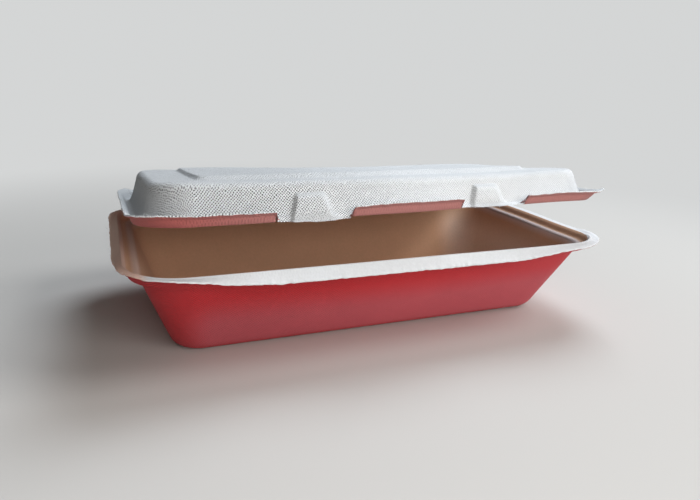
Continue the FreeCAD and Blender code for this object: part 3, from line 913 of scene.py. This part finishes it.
def band_path(sheet, tray, lid):
    """The middle of the band's section, from inside the tray's lip to inside the lid's flange.

    Also each step's share of the way and the fold's share.
    """
    fold = np.array([sheet.fold_place, sheet.fold_height])
    lip = np.array([sheet.half_width, tray.lip_height - sheet.pulp / 2])
    flange = np.array([sheet.half_width - lid.flange_inset,
                       lid.stand + lid.flange_height + sheet.pulp / 2])
    inner = flange + np.array([-1.1, -0.55]) * MM
    flange, inner = (swing(np.array([0.0, *end]), sheet, sheet.opening)[1:]
                     for end in (flange, inner))
    corners = np.array([lip + np.array([-0.9, 0.85]) * MM, lip + np.array([0.28, -0.25]) * MM,
                        mix(lip, fold, 0.3) + np.array([0.25, -0.1]) * MM,
                        mix(lip, fold, 0.8) + np.array([0.15, 0.0]) * MM, fold,
                        mix(fold, flange, 0.25) + np.array([0.1, 0.25]) * MM,
                        mix(fold, flange, 0.75) + np.array([0.1, 0.3]) * MM, flange, inner])
    gaps = np.linalg.norm(np.diff(corners, axis=0), axis=1)
    along = np.concatenate([[0.0], np.cumsum(gaps)])
    fine = np.linspace(0.0, along[-1], BAND_STEPS)
    path = np.stack([np.interp(fine, along, corners[:, axis]) for axis in range(2)], axis=-1)
    for _ in range(3):
        path[1:-1] = (path[:-2] + 2 * path[1:-1] + path[2:]) / 4
    return path, fine / along[-1], along[4] / along[-1]


def there_and_back(values):
    """Values along one face of the band and back along the other."""
    return np.concatenate([values, values[::-1]])


def build_band(sheet, tray, lid, band):
    """Points of the folding band, with a pressed crease at the fold.

    Also each point's share of the way round from tray to lid and the fold's share.
    """
    path, along, fold = band_path(sheet, tray, lid)
    tangent = np.gradient(path, axis=0)
    tangent /= np.linalg.norm(tangent, axis=1)[:, None]
    normal = np.stack([-tangent[:, 1], tangent[:, 0]], axis=-1)
    crease = np.exp(-((along - fold) / 0.035) ** 2)
    seam = np.maximum(1 - ease(along, 0.0, 0.07), ease(along, 0.93, 1.0))
    thick = (sheet.pulp - 2 * band.crease * crease + 0.16 * MM * seam) / 2
    loop = np.concatenate([path + normal * thick[:, None], (path - normal * thick[:, None])[::-1]])
    reach = band.half_length - band.pinch * np.exp(-((along - fold) / 0.3) ** 2)
    x = np.linspace(-1.0, 1.0, BAND_COLUMNS)[:, None] * there_and_back(reach)
    points = np.stack([x, *(np.broadcast_to(loop[:, axis], x.shape) for axis in range(2))], axis=-1)
    moved = drift(points, SEEDS["band"], 0.25 * MM, 12 * MM, 50 * MM)
    points += (moved - points) * there_and_back(np.sin(np.pi * along))[:, None]
    points = skew(points, sheet, lid, there_and_back(ease(along, fold, 0.92)))
    return points, np.broadcast_to(there_and_back(along), x.shape), fold


def tube_mesh(name, points, attributes):
    """A closed mesh through loops of points, capped at both ends."""
    columns, around = points.shape[:2]
    index = np.arange(columns * around).reshape(columns, around)
    following = np.roll(index, -1, axis=1)
    quads = np.stack([index[:-1], index[1:], following[1:], following[:-1]], axis=-1)
    faces = quads.reshape(-1, 4).tolist()
    half = around // 2
    for column, flip in ((0, False), (columns - 1, True)):
        upper, lower = index[column, :half], index[column, half:][::-1]
        for step in range(half - 1):
            cap = [upper[step], upper[step + 1], lower[step + 1], lower[step]]
            faces.append([int(v) for v in (cap[::-1] if flip else cap)])
    mesh = bpy.data.meshes.new(name)
    mesh.from_pydata(points.reshape(-1, 3).tolist(), [], faces)
    return finish_mesh(mesh, {label: values.reshape(-1) for label, values in attributes.items()})


# -------------------------------------------------------------------------------- materials


def add_node(tree, kind, inputs=None, **settings):
    """Add a node, set it up, and join or fill its inputs."""
    node = tree.nodes.new(kind)
    for name, value in settings.items():
        setattr(node, name, value)
    for name, value in (inputs or {}).items():
        socket = node.inputs[name]
        if isinstance(value, bpy.types.NodeSocket):
            tree.links.new(value, socket)
        else:
            socket.default_value = value
    return node


def math_node(tree, operation, first, second=0.0, clamp=False):
    """The result of one sum."""
    return add_node(tree, "ShaderNodeMath", {0: first, 1: second}, operation=operation,
                    use_clamp=clamp).outputs[0]


def product(tree, first, *others):
    """Values multiplied together."""
    for other in others:
        first = math_node(tree, "MULTIPLY", first, other)
    return first


def attribute(tree, name):
    """One of the mesh's own values at each point."""
    return add_node(tree, "ShaderNodeAttribute", attribute_name=name).outputs["Fac"]


def mix_colour(tree, share, first, second, blend="MIX"):
    """Two colours mixed by a share."""
    node = add_node(tree, "ShaderNodeMix", data_type="RGBA", blend_type=blend)
    sockets = {"Factor_Float": share, "A_Color": first, "B_Color": second}
    for socket in node.inputs:
        value = sockets.get(socket.identifier)
        if isinstance(value, bpy.types.NodeSocket):
            tree.links.new(value, socket)
        elif value is not None:
            socket.default_value = value
    return next(socket for socket in node.outputs if socket.identifier == "Result_Color")


def ramp(tree, share, low, high):
    """A share stretched so that it runs from 0 at low to 1 at high."""
    return add_node(tree, "ShaderNodeMapRange", {
        "Value": share, "From Min": low, "From Max": high}, interpolation_type="SMOOTHSTEP",
        clamp=True).outputs[0]


def between(tree, share, low, high):
    """A number between low and high."""
    return add_node(tree, "ShaderNodeMapRange", {
        "Value": share, "To Min": low, "To Max": high}, clamp=True).outputs[0]


def solid(tint, factor=1.0):
    """A colour made opaque, and darker by a factor."""
    return (*[channel * factor for channel in tint], 1.0)


def toned(tree, tint, share, low, high):
    """A tint multiplied by one level of grey where share is 0 and by another where it is 1."""
    grey = mix_colour(tree, share, solid((low,) * 3), solid((high,) * 3))
    return mix_colour(tree, 1.0, tint, grey, "MULTIPLY")


def bumped(tree, height, distance, normal=None):
    """Surface relief, on top of earlier relief if given."""
    inputs = {"Height": height, "Distance": distance, "Strength": 1.0}
    if normal:
        inputs["Normal"] = normal
    return add_node(tree, "ShaderNodeBump", inputs).outputs[0]


def new_material(name):
    """An empty material with its coordinates and its shader."""
    old = bpy.data.materials.get(name)
    if old:
        bpy.data.materials.remove(old)
    material = bpy.data.materials.new(name)
    material.use_nodes = True
    tree = material.node_tree
    tree.nodes.clear()
    shader = add_node(tree, "ShaderNodeBsdfPrincipled")
    output = add_node(tree, "ShaderNodeOutputMaterial")
    tree.links.new(shader.outputs[0], output.inputs[0])
    place = add_node(tree, "ShaderNodeTexCoord").outputs["Object"]
    return material, tree, shader, place


def noise(tree, place, scale, detail=3.0, rough=0.55):
    """Cloudy unevenness between 0 and 1."""
    return add_node(tree, "ShaderNodeTexNoise", {
        "Vector": place, "Scale": scale, "Detail": detail, "Roughness": rough}).outputs[0]


# Scales of the noise in the pulp, from cloudy mottling to fine grain, the level of grey that the
# clouds and the grain darken it to, and how deep the lumps and the grain are.
CLOUDS, LUMPS, GRAIN = 42.0, 210.0, 900.0
CLOUD_GREY, GRAIN_GREY = 0.955, 0.94
LUMP_DEPTH, GRAIN_DEPTH = 0.08 * MM, 0.03 * MM
# Least and most roughness of the grain, and the sheen of the fine fibres on the pulp.
ROUGHNESS = (0.70, 0.90)
SHEEN, SHEEN_ROUGHNESS = 0.05, 0.6
# The small specks: their spacing, size, strength and colour, and the share of places left bare.
FLECK_SPACING, FLECK_RADIUS, FLECK_STRENGTH = 7 * MM, 0.16 * MM, 0.45
FLECK = (0.2, 0.17, 0.14)
FLECKLESS = 0.55
# The screen's marks: the mean painted shade in their pits where they are smoothed away, how far
# each strays, and how much further where smooth.
MEAN_PIT_SHADE = 0.4
STRAY, STRAY_SCALE, SMOOTH_STRAY = 0.36, 450.0, 2.6
# Each gradual change of finish, painted light and painted shade among them: the axis it follows,
# where it begins and where it is full.
CHANGES = {
    "screen marks fade": (0, -0.070, 0.020),
    "lid's left end": (0, -0.050, -0.100),
    "tray's right end": (0, 0.075, 0.096),
    "below the mouth": (2, 0.0375, 0.020),
    "on the ledge": (2, 0.0362, 0.0372),
    "mouth's left end": (0, -0.080, -0.095),
    "rim's left end": (0, -0.101, -0.106),
    "low on the wall": (2, 0.031, 0.013),
    "above the foot": (2, 0.001, 0.0045),
    "past the left end": (0, -0.094, -0.076),
    "towards the right": (0, -0.020, 0.110),
}
# How much painted light makes the red paler towards the right, how dark the ledge's right end is
# painted as painted shade, how much of the painted highlight along the mouth's edge is left out at
# its left end, which lies in shade, and how white the rim is beside the lid.
RIGHT_PAINTED_LIGHT = 0.3
LEDGE_SHADE = 0.36
LEFT_HIGHLIGHT_CUT = 0.55
RIM_WHITENESS = 0.87


def share_along(tree, place, change):
    """0 where one of the changes begins and 1 where it is full."""
    axis, start, end = CHANGES[change]
    along = add_node(tree, "ShaderNodeSeparateXYZ", {"Vector": place}).outputs[axis]
    return ramp(tree, along, start, end)


def screen_marks(tree, place, pitch):
    """Dimples left by the mould's wire screen, staggered row by row: 1 in the pits, 0 between."""
    bend = add_node(tree, "ShaderNodeTexNoise", {
        "Vector": place, "Scale": STRAY_SCALE, "Detail": 1.0})
    parts = add_node(tree, "ShaderNodeSeparateColor", {"Color": bend.outputs["Color"]}).outputs
    stray = math_node(tree, "ADD", 1.0, product(tree, attribute(tree, "smooth"), SMOOTH_STRAY))
    across = []
    for label, part in (("flat_x", parts[0]), ("flat_y", parts[1])):
        shift = product(tree, between(tree, part, -STRAY * pitch, STRAY * pitch), stray)
        moved = math_node(tree, "ADD", attribute(tree, label), shift)
        across.append(math_node(tree, "COSINE", product(tree, moved, 2 * math.pi / pitch)))
    depth = product(tree, product(tree, *across), between(tree, parts[2], 0.1, 1.5))
    return ramp(tree, depth, -0.05, 0.55)


def flecks(tree, place):
    """Rare small specks: 1 on a speck."""
    cells = add_node(tree, "ShaderNodeTexVoronoi", {
        "Vector": place, "Scale": 1 / FLECK_SPACING, "Randomness": 1.0}, feature="F1")
    radius = FLECK_RADIUS / FLECK_SPACING
    near = ramp(tree, cells.outputs["Distance"], radius, 0.5 * radius)
    parts = add_node(tree, "ShaderNodeSeparateColor", {"Color": cells.outputs["Color"]})
    return product(tree, near, math_node(tree, "GREATER_THAN", parts.outputs[0], FLECKLESS))


def pulp_surface(tree, shader, place, tint, finish, marks, grain, gloss=0.25):
    """Mottling, screen marks with painted shade in their pits, flecks and fine grain over a tint,
    and the relief to match.

    marks and grain are how strong the screen marks with their painted shade and the roughness of
    the pulp are.
    """
    clouds = noise(tree, place, CLOUDS, 4.0, 0.6)
    fine = noise(tree, place, GRAIN, 3.0, 0.6)
    fade = product(tree, share_along(tree, place, "screen marks fade"), finish.mesh_fade)
    smooth = attribute(tree, "smooth")
    pits = product(tree, screen_marks(tree, place, finish.mesh_pitch),
                   math_node(tree, "SUBTRACT", 1.0, fade), math_node(tree, "SUBTRACT", 1.0, smooth))
    # Painted shade in the pits, kept at its mean where the marks are smoothed away.
    shown = math_node(tree, "ADD", pits, product(tree, smooth, MEAN_PIT_SHADE))

    tinted = toned(tree, tint, ramp(tree, clouds, 0.3, 0.7), CLOUD_GREY, 1)
    tinted = toned(tree, tinted, ramp(tree, fine, 0.3, 0.7), GRAIN_GREY, 1)
    tinted = toned(tree, tinted, shown, 1, 1.0 - finish.pit_painted_shade * marks)
    speck = product(tree, flecks(tree, place), FLECK_STRENGTH)
    tinted = mix_colour(tree, speck, tinted, solid(FLECK))

    bump = bumped(tree, noise(tree, place, LUMPS, 3.0, 0.5), LUMP_DEPTH * grain)
    bump = bumped(tree, math_node(tree, "SUBTRACT", 1.0, pits), finish.mesh_depth * marks, bump)
    bump = bumped(tree, fine, GRAIN_DEPTH * grain, bump)
    tree.links.new(tinted, shader.inputs["Base Color"])
    tree.links.new(bump, shader.inputs["Normal"])
    tree.links.new(between(tree, fine, *ROUGHNESS), shader.inputs["Roughness"])
    shader.inputs["Specular IOR Level"].default_value = gloss
    shader.inputs["Sheen Weight"].default_value = SHEEN
    shader.inputs["Sheen Roughness"].default_value = SHEEN_ROUGHNESS


def fibre_material(finish):
    """White pulp without screen marks."""
    material, tree, shader, place = new_material("FibrePulp")
    pulp_surface(tree, shader, place, solid(finish.white), finish, 0.0, 0.4)
    return material


def lid_outside(finish):
    """White pulp, with the rose underside showing on the torn ends of the tabs."""
    material, tree, shader, place = new_material("LidPulp")
    torn = ramp(tree, attribute(tree, "torn"), 0.15, 0.4)
    tint = mix_colour(tree, torn, solid(finish.white), solid(finish.rose))
    pulp_surface(tree, shader, place, tint, finish, 1.0, 1.0)
    return material


def tray_outside(finish):
    """Red pulp, painted paler low down on the walls as a painted reflection of the pale floor,
    except at the left end, and paler towards the right as painted light.
    """
    material, tree, shader, place = new_material("TrayOutsidePulp")
    # Painted reflection of the pale floor low on the walls, left out at the left end and at the
    # foot; painted light towards the right.
    low = product(tree, share_along(tree, place, "low on the wall"),
                  share_along(tree, place, "past the left end"),
                  share_along(tree, place, "above the foot"))
    light_to_right = product(tree, share_along(tree, place, "towards the right"), RIGHT_PAINTED_LIGHT)
    tint = mix_colour(tree, math_node(tree, "ADD", low, light_to_right, True), solid(finish.red),
                      solid(finish.reflecting_red))
    pulp_surface(tree, shader, place, tint, finish, 0.45, 0.7, 0.26)
    return material


def lid_underside(finish):
    """Rose pulp, with painted shade making it deeper at the left end."""
    material, tree, shader, place = new_material("LidUnderPulp")
    tint = mix_colour(tree, share_along(tree, place, "lid's left end"), solid(finish.rose),
                      solid(finish.shaded_rose))
    pulp_surface(tree, shader, place, tint, finish, 0.2, 0.7)
    return material


def tray_inside(finish):
    """Brown pulp with a white rim and a painted highlight along the mouth's edge, by the tray's own
    attributes; painted light on the right end's wall, painted shade on the ledge there and on the
    rim's left end.
    """
    material, tree, shader, place = new_material("TrayInsidePulp")
    wobble = noise(tree, place, 260.0, 2.0)
    white = math_node(tree, "ADD", attribute(tree, "rim_white"), between(tree, wobble, -0.12, 0.12))
    # Painted highlight along the mouth's rounded edge, with less of it at the left end, which lies
    # in shade.
    highlight_cut = product(tree, share_along(tree, place, "mouth's left end"), LEFT_HIGHLIGHT_CUT)
    highlight_share = product(tree, attribute(tree, "mouth_rub"), between(tree, wobble, 0.75, 1.0),
                     math_node(tree, "SUBTRACT", 1.0, highlight_cut))
    # Painted light: the right end's wall below the mouth is painted paler, as it gets little light.
    at_right = share_along(tree, place, "tray's right end")
    pale = product(tree, at_right, share_along(tree, place, "below the mouth"))
    # Painted shade on the ledge at the right end, beside the crest.
    ledge_shade = product(tree, at_right, share_along(tree, place, "on the ledge"), LEDGE_SHADE)
    tint = mix_colour(tree, pale, solid(finish.brown), solid(finish.lit_brown))
    tint = mix_colour(tree, highlight_share, tint, solid(finish.mouth_highlight_tint))
    tint = mix_colour(tree, ledge_shade, tint, solid((0, 0, 0)))
    # Painted shade on the rim's left end, which faces away from the light, tinted brown.
    rim = mix_colour(tree, share_along(tree, place, "rim's left end"),
                     solid(finish.white, RIM_WHITENESS), solid(finish.left_rim_shade))
    tint = mix_colour(tree, ramp(tree, white, 0.35, 0.65), tint, rim)
    pulp_surface(tree, shader, place, tint, finish, 0.03, 0.7)
    return material


def band_material(finish):
    """Red to white outside and white to rose inside, with the colours meeting at the fold.

    The attribute along is each point's share of the way, less the fold's.
    """
    material, tree, shader, place = new_material("BandPulp")
    wobble = between(tree, noise(tree, place, 300.0, 2.0), -0.05, 0.05)
    past = ramp(tree, math_node(tree, "ADD", attribute(tree, "along"), wobble), -0.03, 0.03)
    outer = mix_colour(tree, past, solid(finish.red), solid(finish.white))
    inside = mix_colour(tree, past, solid(finish.white), solid(finish.rose))
    tint = mix_colour(tree, ramp(tree, attribute(tree, "inner"), 0.4, 0.6), outer, inside)
    pulp_surface(tree, shader, place, tint, finish, 0.5, 1.0)
    return material


# ----------------------------------------------------------------------------------- fibres

# The least and the most that a fibre turns about each axis, in radians, the length of the shortest
# beside the longest, and how far a fibre stands beside and above its place on the edge.
FIBRE_TURNS = ((0.0, -0.9, 0.0), (0.8, 0.9, 6.283))
SHORTEST = 0.35
BESIDE, ABOVE = 0.6 * MM, 0.1 * MM


def fibre_spots(tree, given):
    """Points spread along the path, each moved a little at random."""
    path = add_node(tree, "GeometryNodeMeshToCurve", {"Mesh": given["Geometry"]})
    spots = add_node(tree, "GeometryNodeResampleCurve", {
        "Curve": path.outputs[0], "Count": given["Count"]}, mode="COUNT")
    points = add_node(tree, "GeometryNodeCurveToPoints", {
        "Curve": spots.outputs[0]}, mode="EVALUATED")
    jitter = add_node(tree, "FunctionNodeRandomValue", {
        0: (-BESIDE, -BESIDE, -ABOVE), 1: (BESIDE, BESIDE, ABOVE), "Seed": given["Seed"]},
        data_type="FLOAT_VECTOR")
    placed = add_node(tree, "GeometryNodeSetPosition", {
        "Geometry": points.outputs[0], "Offset": jitter.outputs[0]})
    return placed.outputs[0]


def one_fibre(tree, given):
    """A bent strand of length one, its radius set against that length."""
    bend = add_node(tree, "GeometryNodeCurveQuadraticBezier", {
        "Resolution": 4, "Start": (0, 0, 0), "Middle": (0.35, 0.3, 0.1), "End": (1.0, 0.1, 0.25)})
    radius = math_node(tree, "DIVIDE", given["Radius"], given["Length"])
    section = add_node(tree, "GeometryNodeCurvePrimitiveCircle", {
        "Resolution": 4, "Radius": radius})
    strand = add_node(tree, "GeometryNodeCurveToMesh", {
        "Curve": bend.outputs[0], "Profile Curve": section.outputs[0], "Fill Caps": True})
    return strand.outputs[0]


def fibre_tree():
    """Node tree: short bent fibres on points spread along a path, turned and sized at random."""
    tree = bpy.data.node_groups.new("EdgeFibres", "GeometryNodeTree")
    face = tree.interface
    face.new_socket("Geometry", in_out="INPUT", socket_type="NodeSocketGeometry")
    for name, kind in (("Count", "Int"), ("Length", "Float"), ("Radius", "Float"),
                       ("Seed", "Int"), ("Material", "Material")):
        face.new_socket(name, in_out="INPUT", socket_type=f"NodeSocket{kind}")
    face.new_socket("Geometry", in_out="OUTPUT", socket_type="NodeSocketGeometry")
    given = add_node(tree, "NodeGroupInput").outputs
    turn = add_node(tree, "FunctionNodeRandomValue", {
        0: FIBRE_TURNS[0], 1: FIBRE_TURNS[1], "Seed": given["Seed"]}, data_type="FLOAT_VECTOR")
    grow = add_node(tree, "FunctionNodeRandomValue", {
        2: SHORTEST, 3: 1.0, "Seed": given["Seed"]}, data_type="FLOAT")
    fibres = add_node(tree, "GeometryNodeInstanceOnPoints", {
        "Points": fibre_spots(tree, given), "Instance": one_fibre(tree, given),
        "Rotation": turn.outputs[0], "Scale": product(tree, grow.outputs[1], given["Length"])})
    plain = add_node(tree, "GeometryNodeRealizeInstances", {"Geometry": fibres.outputs[0]})
    dressed = add_node(tree, "GeometryNodeSetMaterial", {
        "Geometry": plain.outputs[0], "Material": given["Material"]})
    add_node(tree, "NodeGroupOutput", {"Geometry": dressed.outputs[0]})
    return tree


def grow_fibres(name, path, tree, material, fibres, seed):
    """Run the fibre tree along a path and keep the result as a plain mesh."""
    mesh = bpy.data.meshes.new(name)
    loop = [(step, (step + 1) % len(path)) for step in range(len(path))]
    mesh.from_pydata(path.tolist(), loop, [])
    piece = add_piece(name, mesh, [])
    modifier = piece.modifiers.new("fibres", "NODES")
    modifier.node_group = tree
    values = {"Count": fibres.count, "Length": fibres.longest, "Radius": fibres.radius,
              "Seed": seed, "Material": material}
    for item in tree.interface.items_tree:
        if item.in_out == "INPUT" and item.name in values:
            modifier[item.identifier] = values[item.name]
    shown = piece.evaluated_get(bpy.context.evaluated_depsgraph_get())
    result = bpy.data.meshes.new_from_object(shown)
    piece.modifiers.remove(modifier)
    piece.data = result
    if not result.polygons:
        raise RuntimeError(f"{name} came out empty")
    return piece


# ----------------------------------------------------------------------------------- studio

FLOOR_RINGS, FLOOR_SPOKES, FLOOR_REACH = 24, 96, 6.0
# How far from the middle the floor begins to fade into the backdrop, and where it has gone.
FLOOR_FADES = (0.20, 0.50)
# Name, setting of its power, place, what it is aimed at, width, height and tint.
LAMPS = (
    ("KeyLamp", "key_power", (0.90, -0.40, 0.93), (0, 0, 0.05), 0.6, 0.6, (0.95, 0.975, 1.0)),
    ("TopLamp", "top_power", (0.50, 0.42, 1.10), (0, 0, 0.05), 0.6, 0.6, (0.82, 0.91, 1.0)),
    ("FrontLamp", "front_power", (0.67, -1.09, 0.53), (0, 0, 0.03), 0.8, 0.5, (1.0, 0.99, 0.975)),
    ("SideLamp", "side_power", (-0.10, -0.41, 0.16), (0.06, 0, 0.03), 0.2, 0.24,
     (1.0, 0.98, 0.95)))
SKY_TINT = (1.0, 0.96, 0.90)


def seen_directly(tree):
    """1 for rays that should see the plain backdrop."""
    path = add_node(tree, "ShaderNodeLightPath").outputs
    seen = math_node(tree, "ADD", path["Is Camera Ray"], path["Is Glossy Ray"], True)
    return math_node(tree, "ADD", seen, path["Is Transmission Ray"], True)


def floor_mesh():
    """A flat disc of rings that widen outwards."""
    turn = np.linspace(0, 2 * math.pi, FLOOR_SPOKES, endpoint=False)
    points, faces = [(0.0, 0.0, 0.0)], []
    for ring in range(1, FLOOR_RINGS + 1):
        radius = FLOOR_REACH * (ring / FLOOR_RINGS) ** 2
        points += [(radius * math.cos(a), radius * math.sin(a), 0.0) for a in turn]
    for spoke in range(FLOOR_SPOKES):
        after = (spoke + 1) % FLOOR_SPOKES
        faces.append((0, 1 + spoke, 1 + after))
        for ring in range(FLOOR_RINGS - 1):
            near, far = 1 + ring * FLOOR_SPOKES, 1 + (ring + 1) * FLOOR_SPOKES
            faces.append((near + spoke, far + spoke, far + after, near + after))
    mesh = bpy.data.meshes.new("Floor")
    mesh.from_pydata(points, [], faces)
    return mesh


def make_floor(studio):
    """A round pale floor that fades into the backdrop."""
    material, tree, shader, place = new_material("FloorPaper")
    tint = mix_colour(tree, noise(tree, place, 3.0, 2.0), solid(studio.floor),
                      solid(studio.pale_floor))
    tree.links.new(tint, shader.inputs["Base Color"])
    shader.inputs["Roughness"].default_value = 0.9
    shader.inputs["Specular IOR Level"].default_value = 0.1
    away = add_node(tree, "ShaderNodeVectorMath", {0: place}, operation="LENGTH").outputs["Value"]
    faded = product(tree, ramp(tree, away, *FLOOR_FADES), seen_directly(tree))
    glow = add_node(tree, "ShaderNodeEmission", {"Color": solid(studio.backdrop)})
    blended = add_node(tree, "ShaderNodeMixShader", {
        0: faded, 1: shader.outputs[0], 2: glow.outputs[0]})
    output = next(node for node in tree.nodes if node.type == "OUTPUT_MATERIAL")
    tree.links.new(blended.outputs[0], output.inputs[0])
    add_piece("Floor", floor_mesh(), [material])


def area_lamp(scene, name, place, target, width, height, power, tint):
    """A rectangular soft lamp turned towards a point."""
    data = bpy.data.lights.new(name, "AREA")
    data.shape, data.size, data.size_y = "RECTANGLE", width, height
    data.energy, data.color = power, tint
    lamp = bpy.data.objects.new(name, data)
    lamp.location = place
    lamp.rotation_euler = (Vector(target) - Vector(place)).to_track_quat("-Z", "Y").to_euler()
    scene.collection.objects.link(lamp)


def make_lights(scene, studio):
    """The lamps and an even pale sky."""
    for name, power, place, target, width, height, tint in LAMPS:
        area_lamp(scene, name, place, target, width, height, getattr(studio, power), tint)
    scene.world = scene.world or bpy.data.worlds.new("Studio")
    scene.world.use_nodes = True
    tree = scene.world.node_tree
    tree.nodes.clear()
    even = add_node(tree, "ShaderNodeBackground", {
        "Color": solid(SKY_TINT), "Strength": studio.sky})
    seen = add_node(tree, "ShaderNodeBackground", {
        "Color": solid(studio.backdrop), "Strength": 1.0})
    blended = add_node(tree, "ShaderNodeMixShader", {
        0: seen_directly(tree), 1: even.outputs[0], 2: seen.outputs[0]})
    add_node(tree, "ShaderNodeOutputWorld", {"Surface": blended.outputs[0]})


def make_camera(scene, studio):
    """The camera, from its place, heading, tilt and roll."""
    data = bpy.data.cameras.new("Camera")
    data.sensor_width = 36.0
    data.lens = studio.lens
    data.clip_start = 0.005
    camera = bpy.data.objects.new("Camera", data)
    scene.collection.objects.link(camera)
    heading, tilt, roll = studio.heading, studio.tilt, studio.roll
    ahead = Vector((math.sin(heading) * math.cos(tilt), math.cos(heading) * math.cos(tilt),
                    -math.sin(tilt)))
    level = Vector((math.cos(heading), -math.sin(heading), 0))
    down = ahead.cross(level)
    right = math.cos(roll) * level + math.sin(roll) * down
    below = -math.sin(roll) * level + math.cos(roll) * down
    camera.matrix_world = Matrix.Translation(studio.eye) @ Matrix(
        (right, -below, -ahead)).transposed().to_4x4()
    scene.camera = camera


# -------------------------------------------------------------------------------- operators

# The trimmed edge of each sheet, kept for its fibres.
EDGES = {}


class CLAMSHELL_OT_tray(bpy.types.Operator):
    """Build the tray with its ledge, crest and drooping lip"""

    bl_idname = "clamshell.tray"
    bl_label = "Build Tray"

    def execute(self, context):
        scene = context.scene
        sheet, tray, finish = scene.pulp_sheet, scene.pulp_tray, scene.pulp_finish
        stations, flat, points = build_tray(sheet, tray, scene.pulp_band)
        white, highlight_share = rim_paint(stations, points, tray)
        mesh = sheet_mesh("Tray", points, [s.paint for s in stations],
                          {"rim_white": white, "mouth_rub": highlight_share, **flat})
        piece = add_piece("Tray", mesh, [tray_inside(finish), tray_outside(finish)])
        EDGES["Tray"] = trimmed_ring(stations, points)
        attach(piece, "base")
        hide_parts("base_tray")
        return {"FINISHED"}


class CLAMSHELL_OT_lid(bpy.types.Operator):
    """Build the lid with its panel, plug bead, flange, front tabs and ribs"""

    bl_idname = "clamshell.lid"
    bl_label = "Build Lid"

    def execute(self, context):
        scene = context.scene
        sheet, lid, finish = scene.pulp_sheet, scene.pulp_lid, scene.pulp_finish
        stations, marks, points = build_lid(sheet, lid, scene.pulp_band)
        mesh = sheet_mesh("Lid", points, [s.paint for s in stations], marks)
        piece = add_piece("Lid", mesh, [lid_outside(finish), lid_underside(finish)])
        EDGES["Lid"] = trimmed_ring(stations, points)
        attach(piece, "lid")
        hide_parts("lid_cover")
        return {"FINISHED"}


class CLAMSHELL_OT_band(bpy.types.Operator):
    """Build the folding band between the tray and the lid"""

    bl_idname = "clamshell.band"
    bl_label = "Build Folding Band"

    def execute(self, context):
        scene = context.scene
        sheet = scene.pulp_sheet
        points, along, fold = build_band(sheet, scene.pulp_tray, scene.pulp_lid, scene.pulp_band)
        inner = np.zeros(points.shape[:2])
        inner[:, :points.shape[1] // 2] = 1.0
        mesh = tube_mesh("FoldingBand", points, {
            "along": along - fold, "inner": inner,
            "flat_x": points[..., 0], "flat_y": points[..., 2]})
        piece = add_piece("FoldingBand", mesh, [band_material(scene.pulp_finish)])
        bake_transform(piece)
        return {"FINISHED"}


class CLAMSHELL_OT_fibres(bpy.types.Operator):
    """Grow loose fibres along the trimmed edges of the tray and the lid"""

    bl_idname = "clamshell.fibres"
    bl_label = "Grow Edge Fibres"

    def execute(self, context):
        scene = context.scene
        tree = fibre_tree()
        material = fibre_material(scene.pulp_finish)
        for source, body, slot, seed in (("Tray", "base", "tray_pulp", SEEDS["tray fibres"]),
                                         ("Lid", "lid", "lid_pulp", SEEDS["lid fibres"])):
            if source not in EDGES:
                raise RuntimeError(f"build the {source.lower()} before its fibres")
            piece = grow_fibres(f"{source}EdgeFibres", EDGES[source], tree, material,
                                scene.pulp_fibres, seed)
            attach(piece, body)
        return {"FINISHED"}


class CLAMSHELL_OT_studio(bpy.types.Operator):
    """Set up the floor, the lamps and the camera"""

    bl_idname = "clamshell.studio"
    bl_label = "Set Up Studio"

    def execute(self, context):
        studio = context.scene.pulp_studio
        make_floor(studio)
        make_lights(context.scene, studio)
        make_camera(context.scene, studio)
        context.scene.view_settings.view_transform = "Standard"
        return {"FINISHED"}


class CLAMSHELL_PT_panel(bpy.types.Panel):
    """Lists the steps that build the container"""

    bl_idname = "CLAMSHELL_PT_panel"
    bl_label = "Pulp Clamshell"
    bl_space_type = "VIEW_3D"
    bl_region_type = "UI"
    bl_category = "Clamshell"

    def draw(self, context):
        for step in STEPS:
            self.layout.operator(step.bl_idname)


SETTINGS = {"pulp_sheet": SheetShape, "pulp_tray": TrayShape, "pulp_lid": LidShape,
            "pulp_band": BandShape, "pulp_fibres": EdgeFibres, "pulp_finish": PulpFinish,
            "pulp_studio": Studio}
STEPS = (CLAMSHELL_OT_tray, CLAMSHELL_OT_lid, CLAMSHELL_OT_band, CLAMSHELL_OT_fibres,
         CLAMSHELL_OT_studio)


def register():
    """Register the settings, the steps and the panel."""
    for name, group in SETTINGS.items():
        bpy.utils.register_class(group)
        setattr(bpy.types.Scene, name, bpy.props.PointerProperty(type=group))
    for item in (*STEPS, CLAMSHELL_PT_panel):
        bpy.utils.register_class(item)


def unregister():
    """Undo register."""
    for item in (CLAMSHELL_PT_panel, *reversed(STEPS)):
        bpy.utils.unregister_class(item)
    for name, group in reversed(SETTINGS.items()):
        delattr(bpy.types.Scene, name)
        bpy.utils.unregister_class(group)


def plain(box):
    """A box as plain lists of numbers."""
    return [[float(value) for value in corner] for corner in box]


def main():
    register()
    bpy.ops.clamshell.tray()
    bpy.ops.clamshell.lid()
    bpy.ops.clamshell.band()
    bpy.ops.clamshell.fibres()
    bpy.ops.clamshell.studio()
    bpy.context.view_layer.update()


if __name__ == "__main__":
    main()
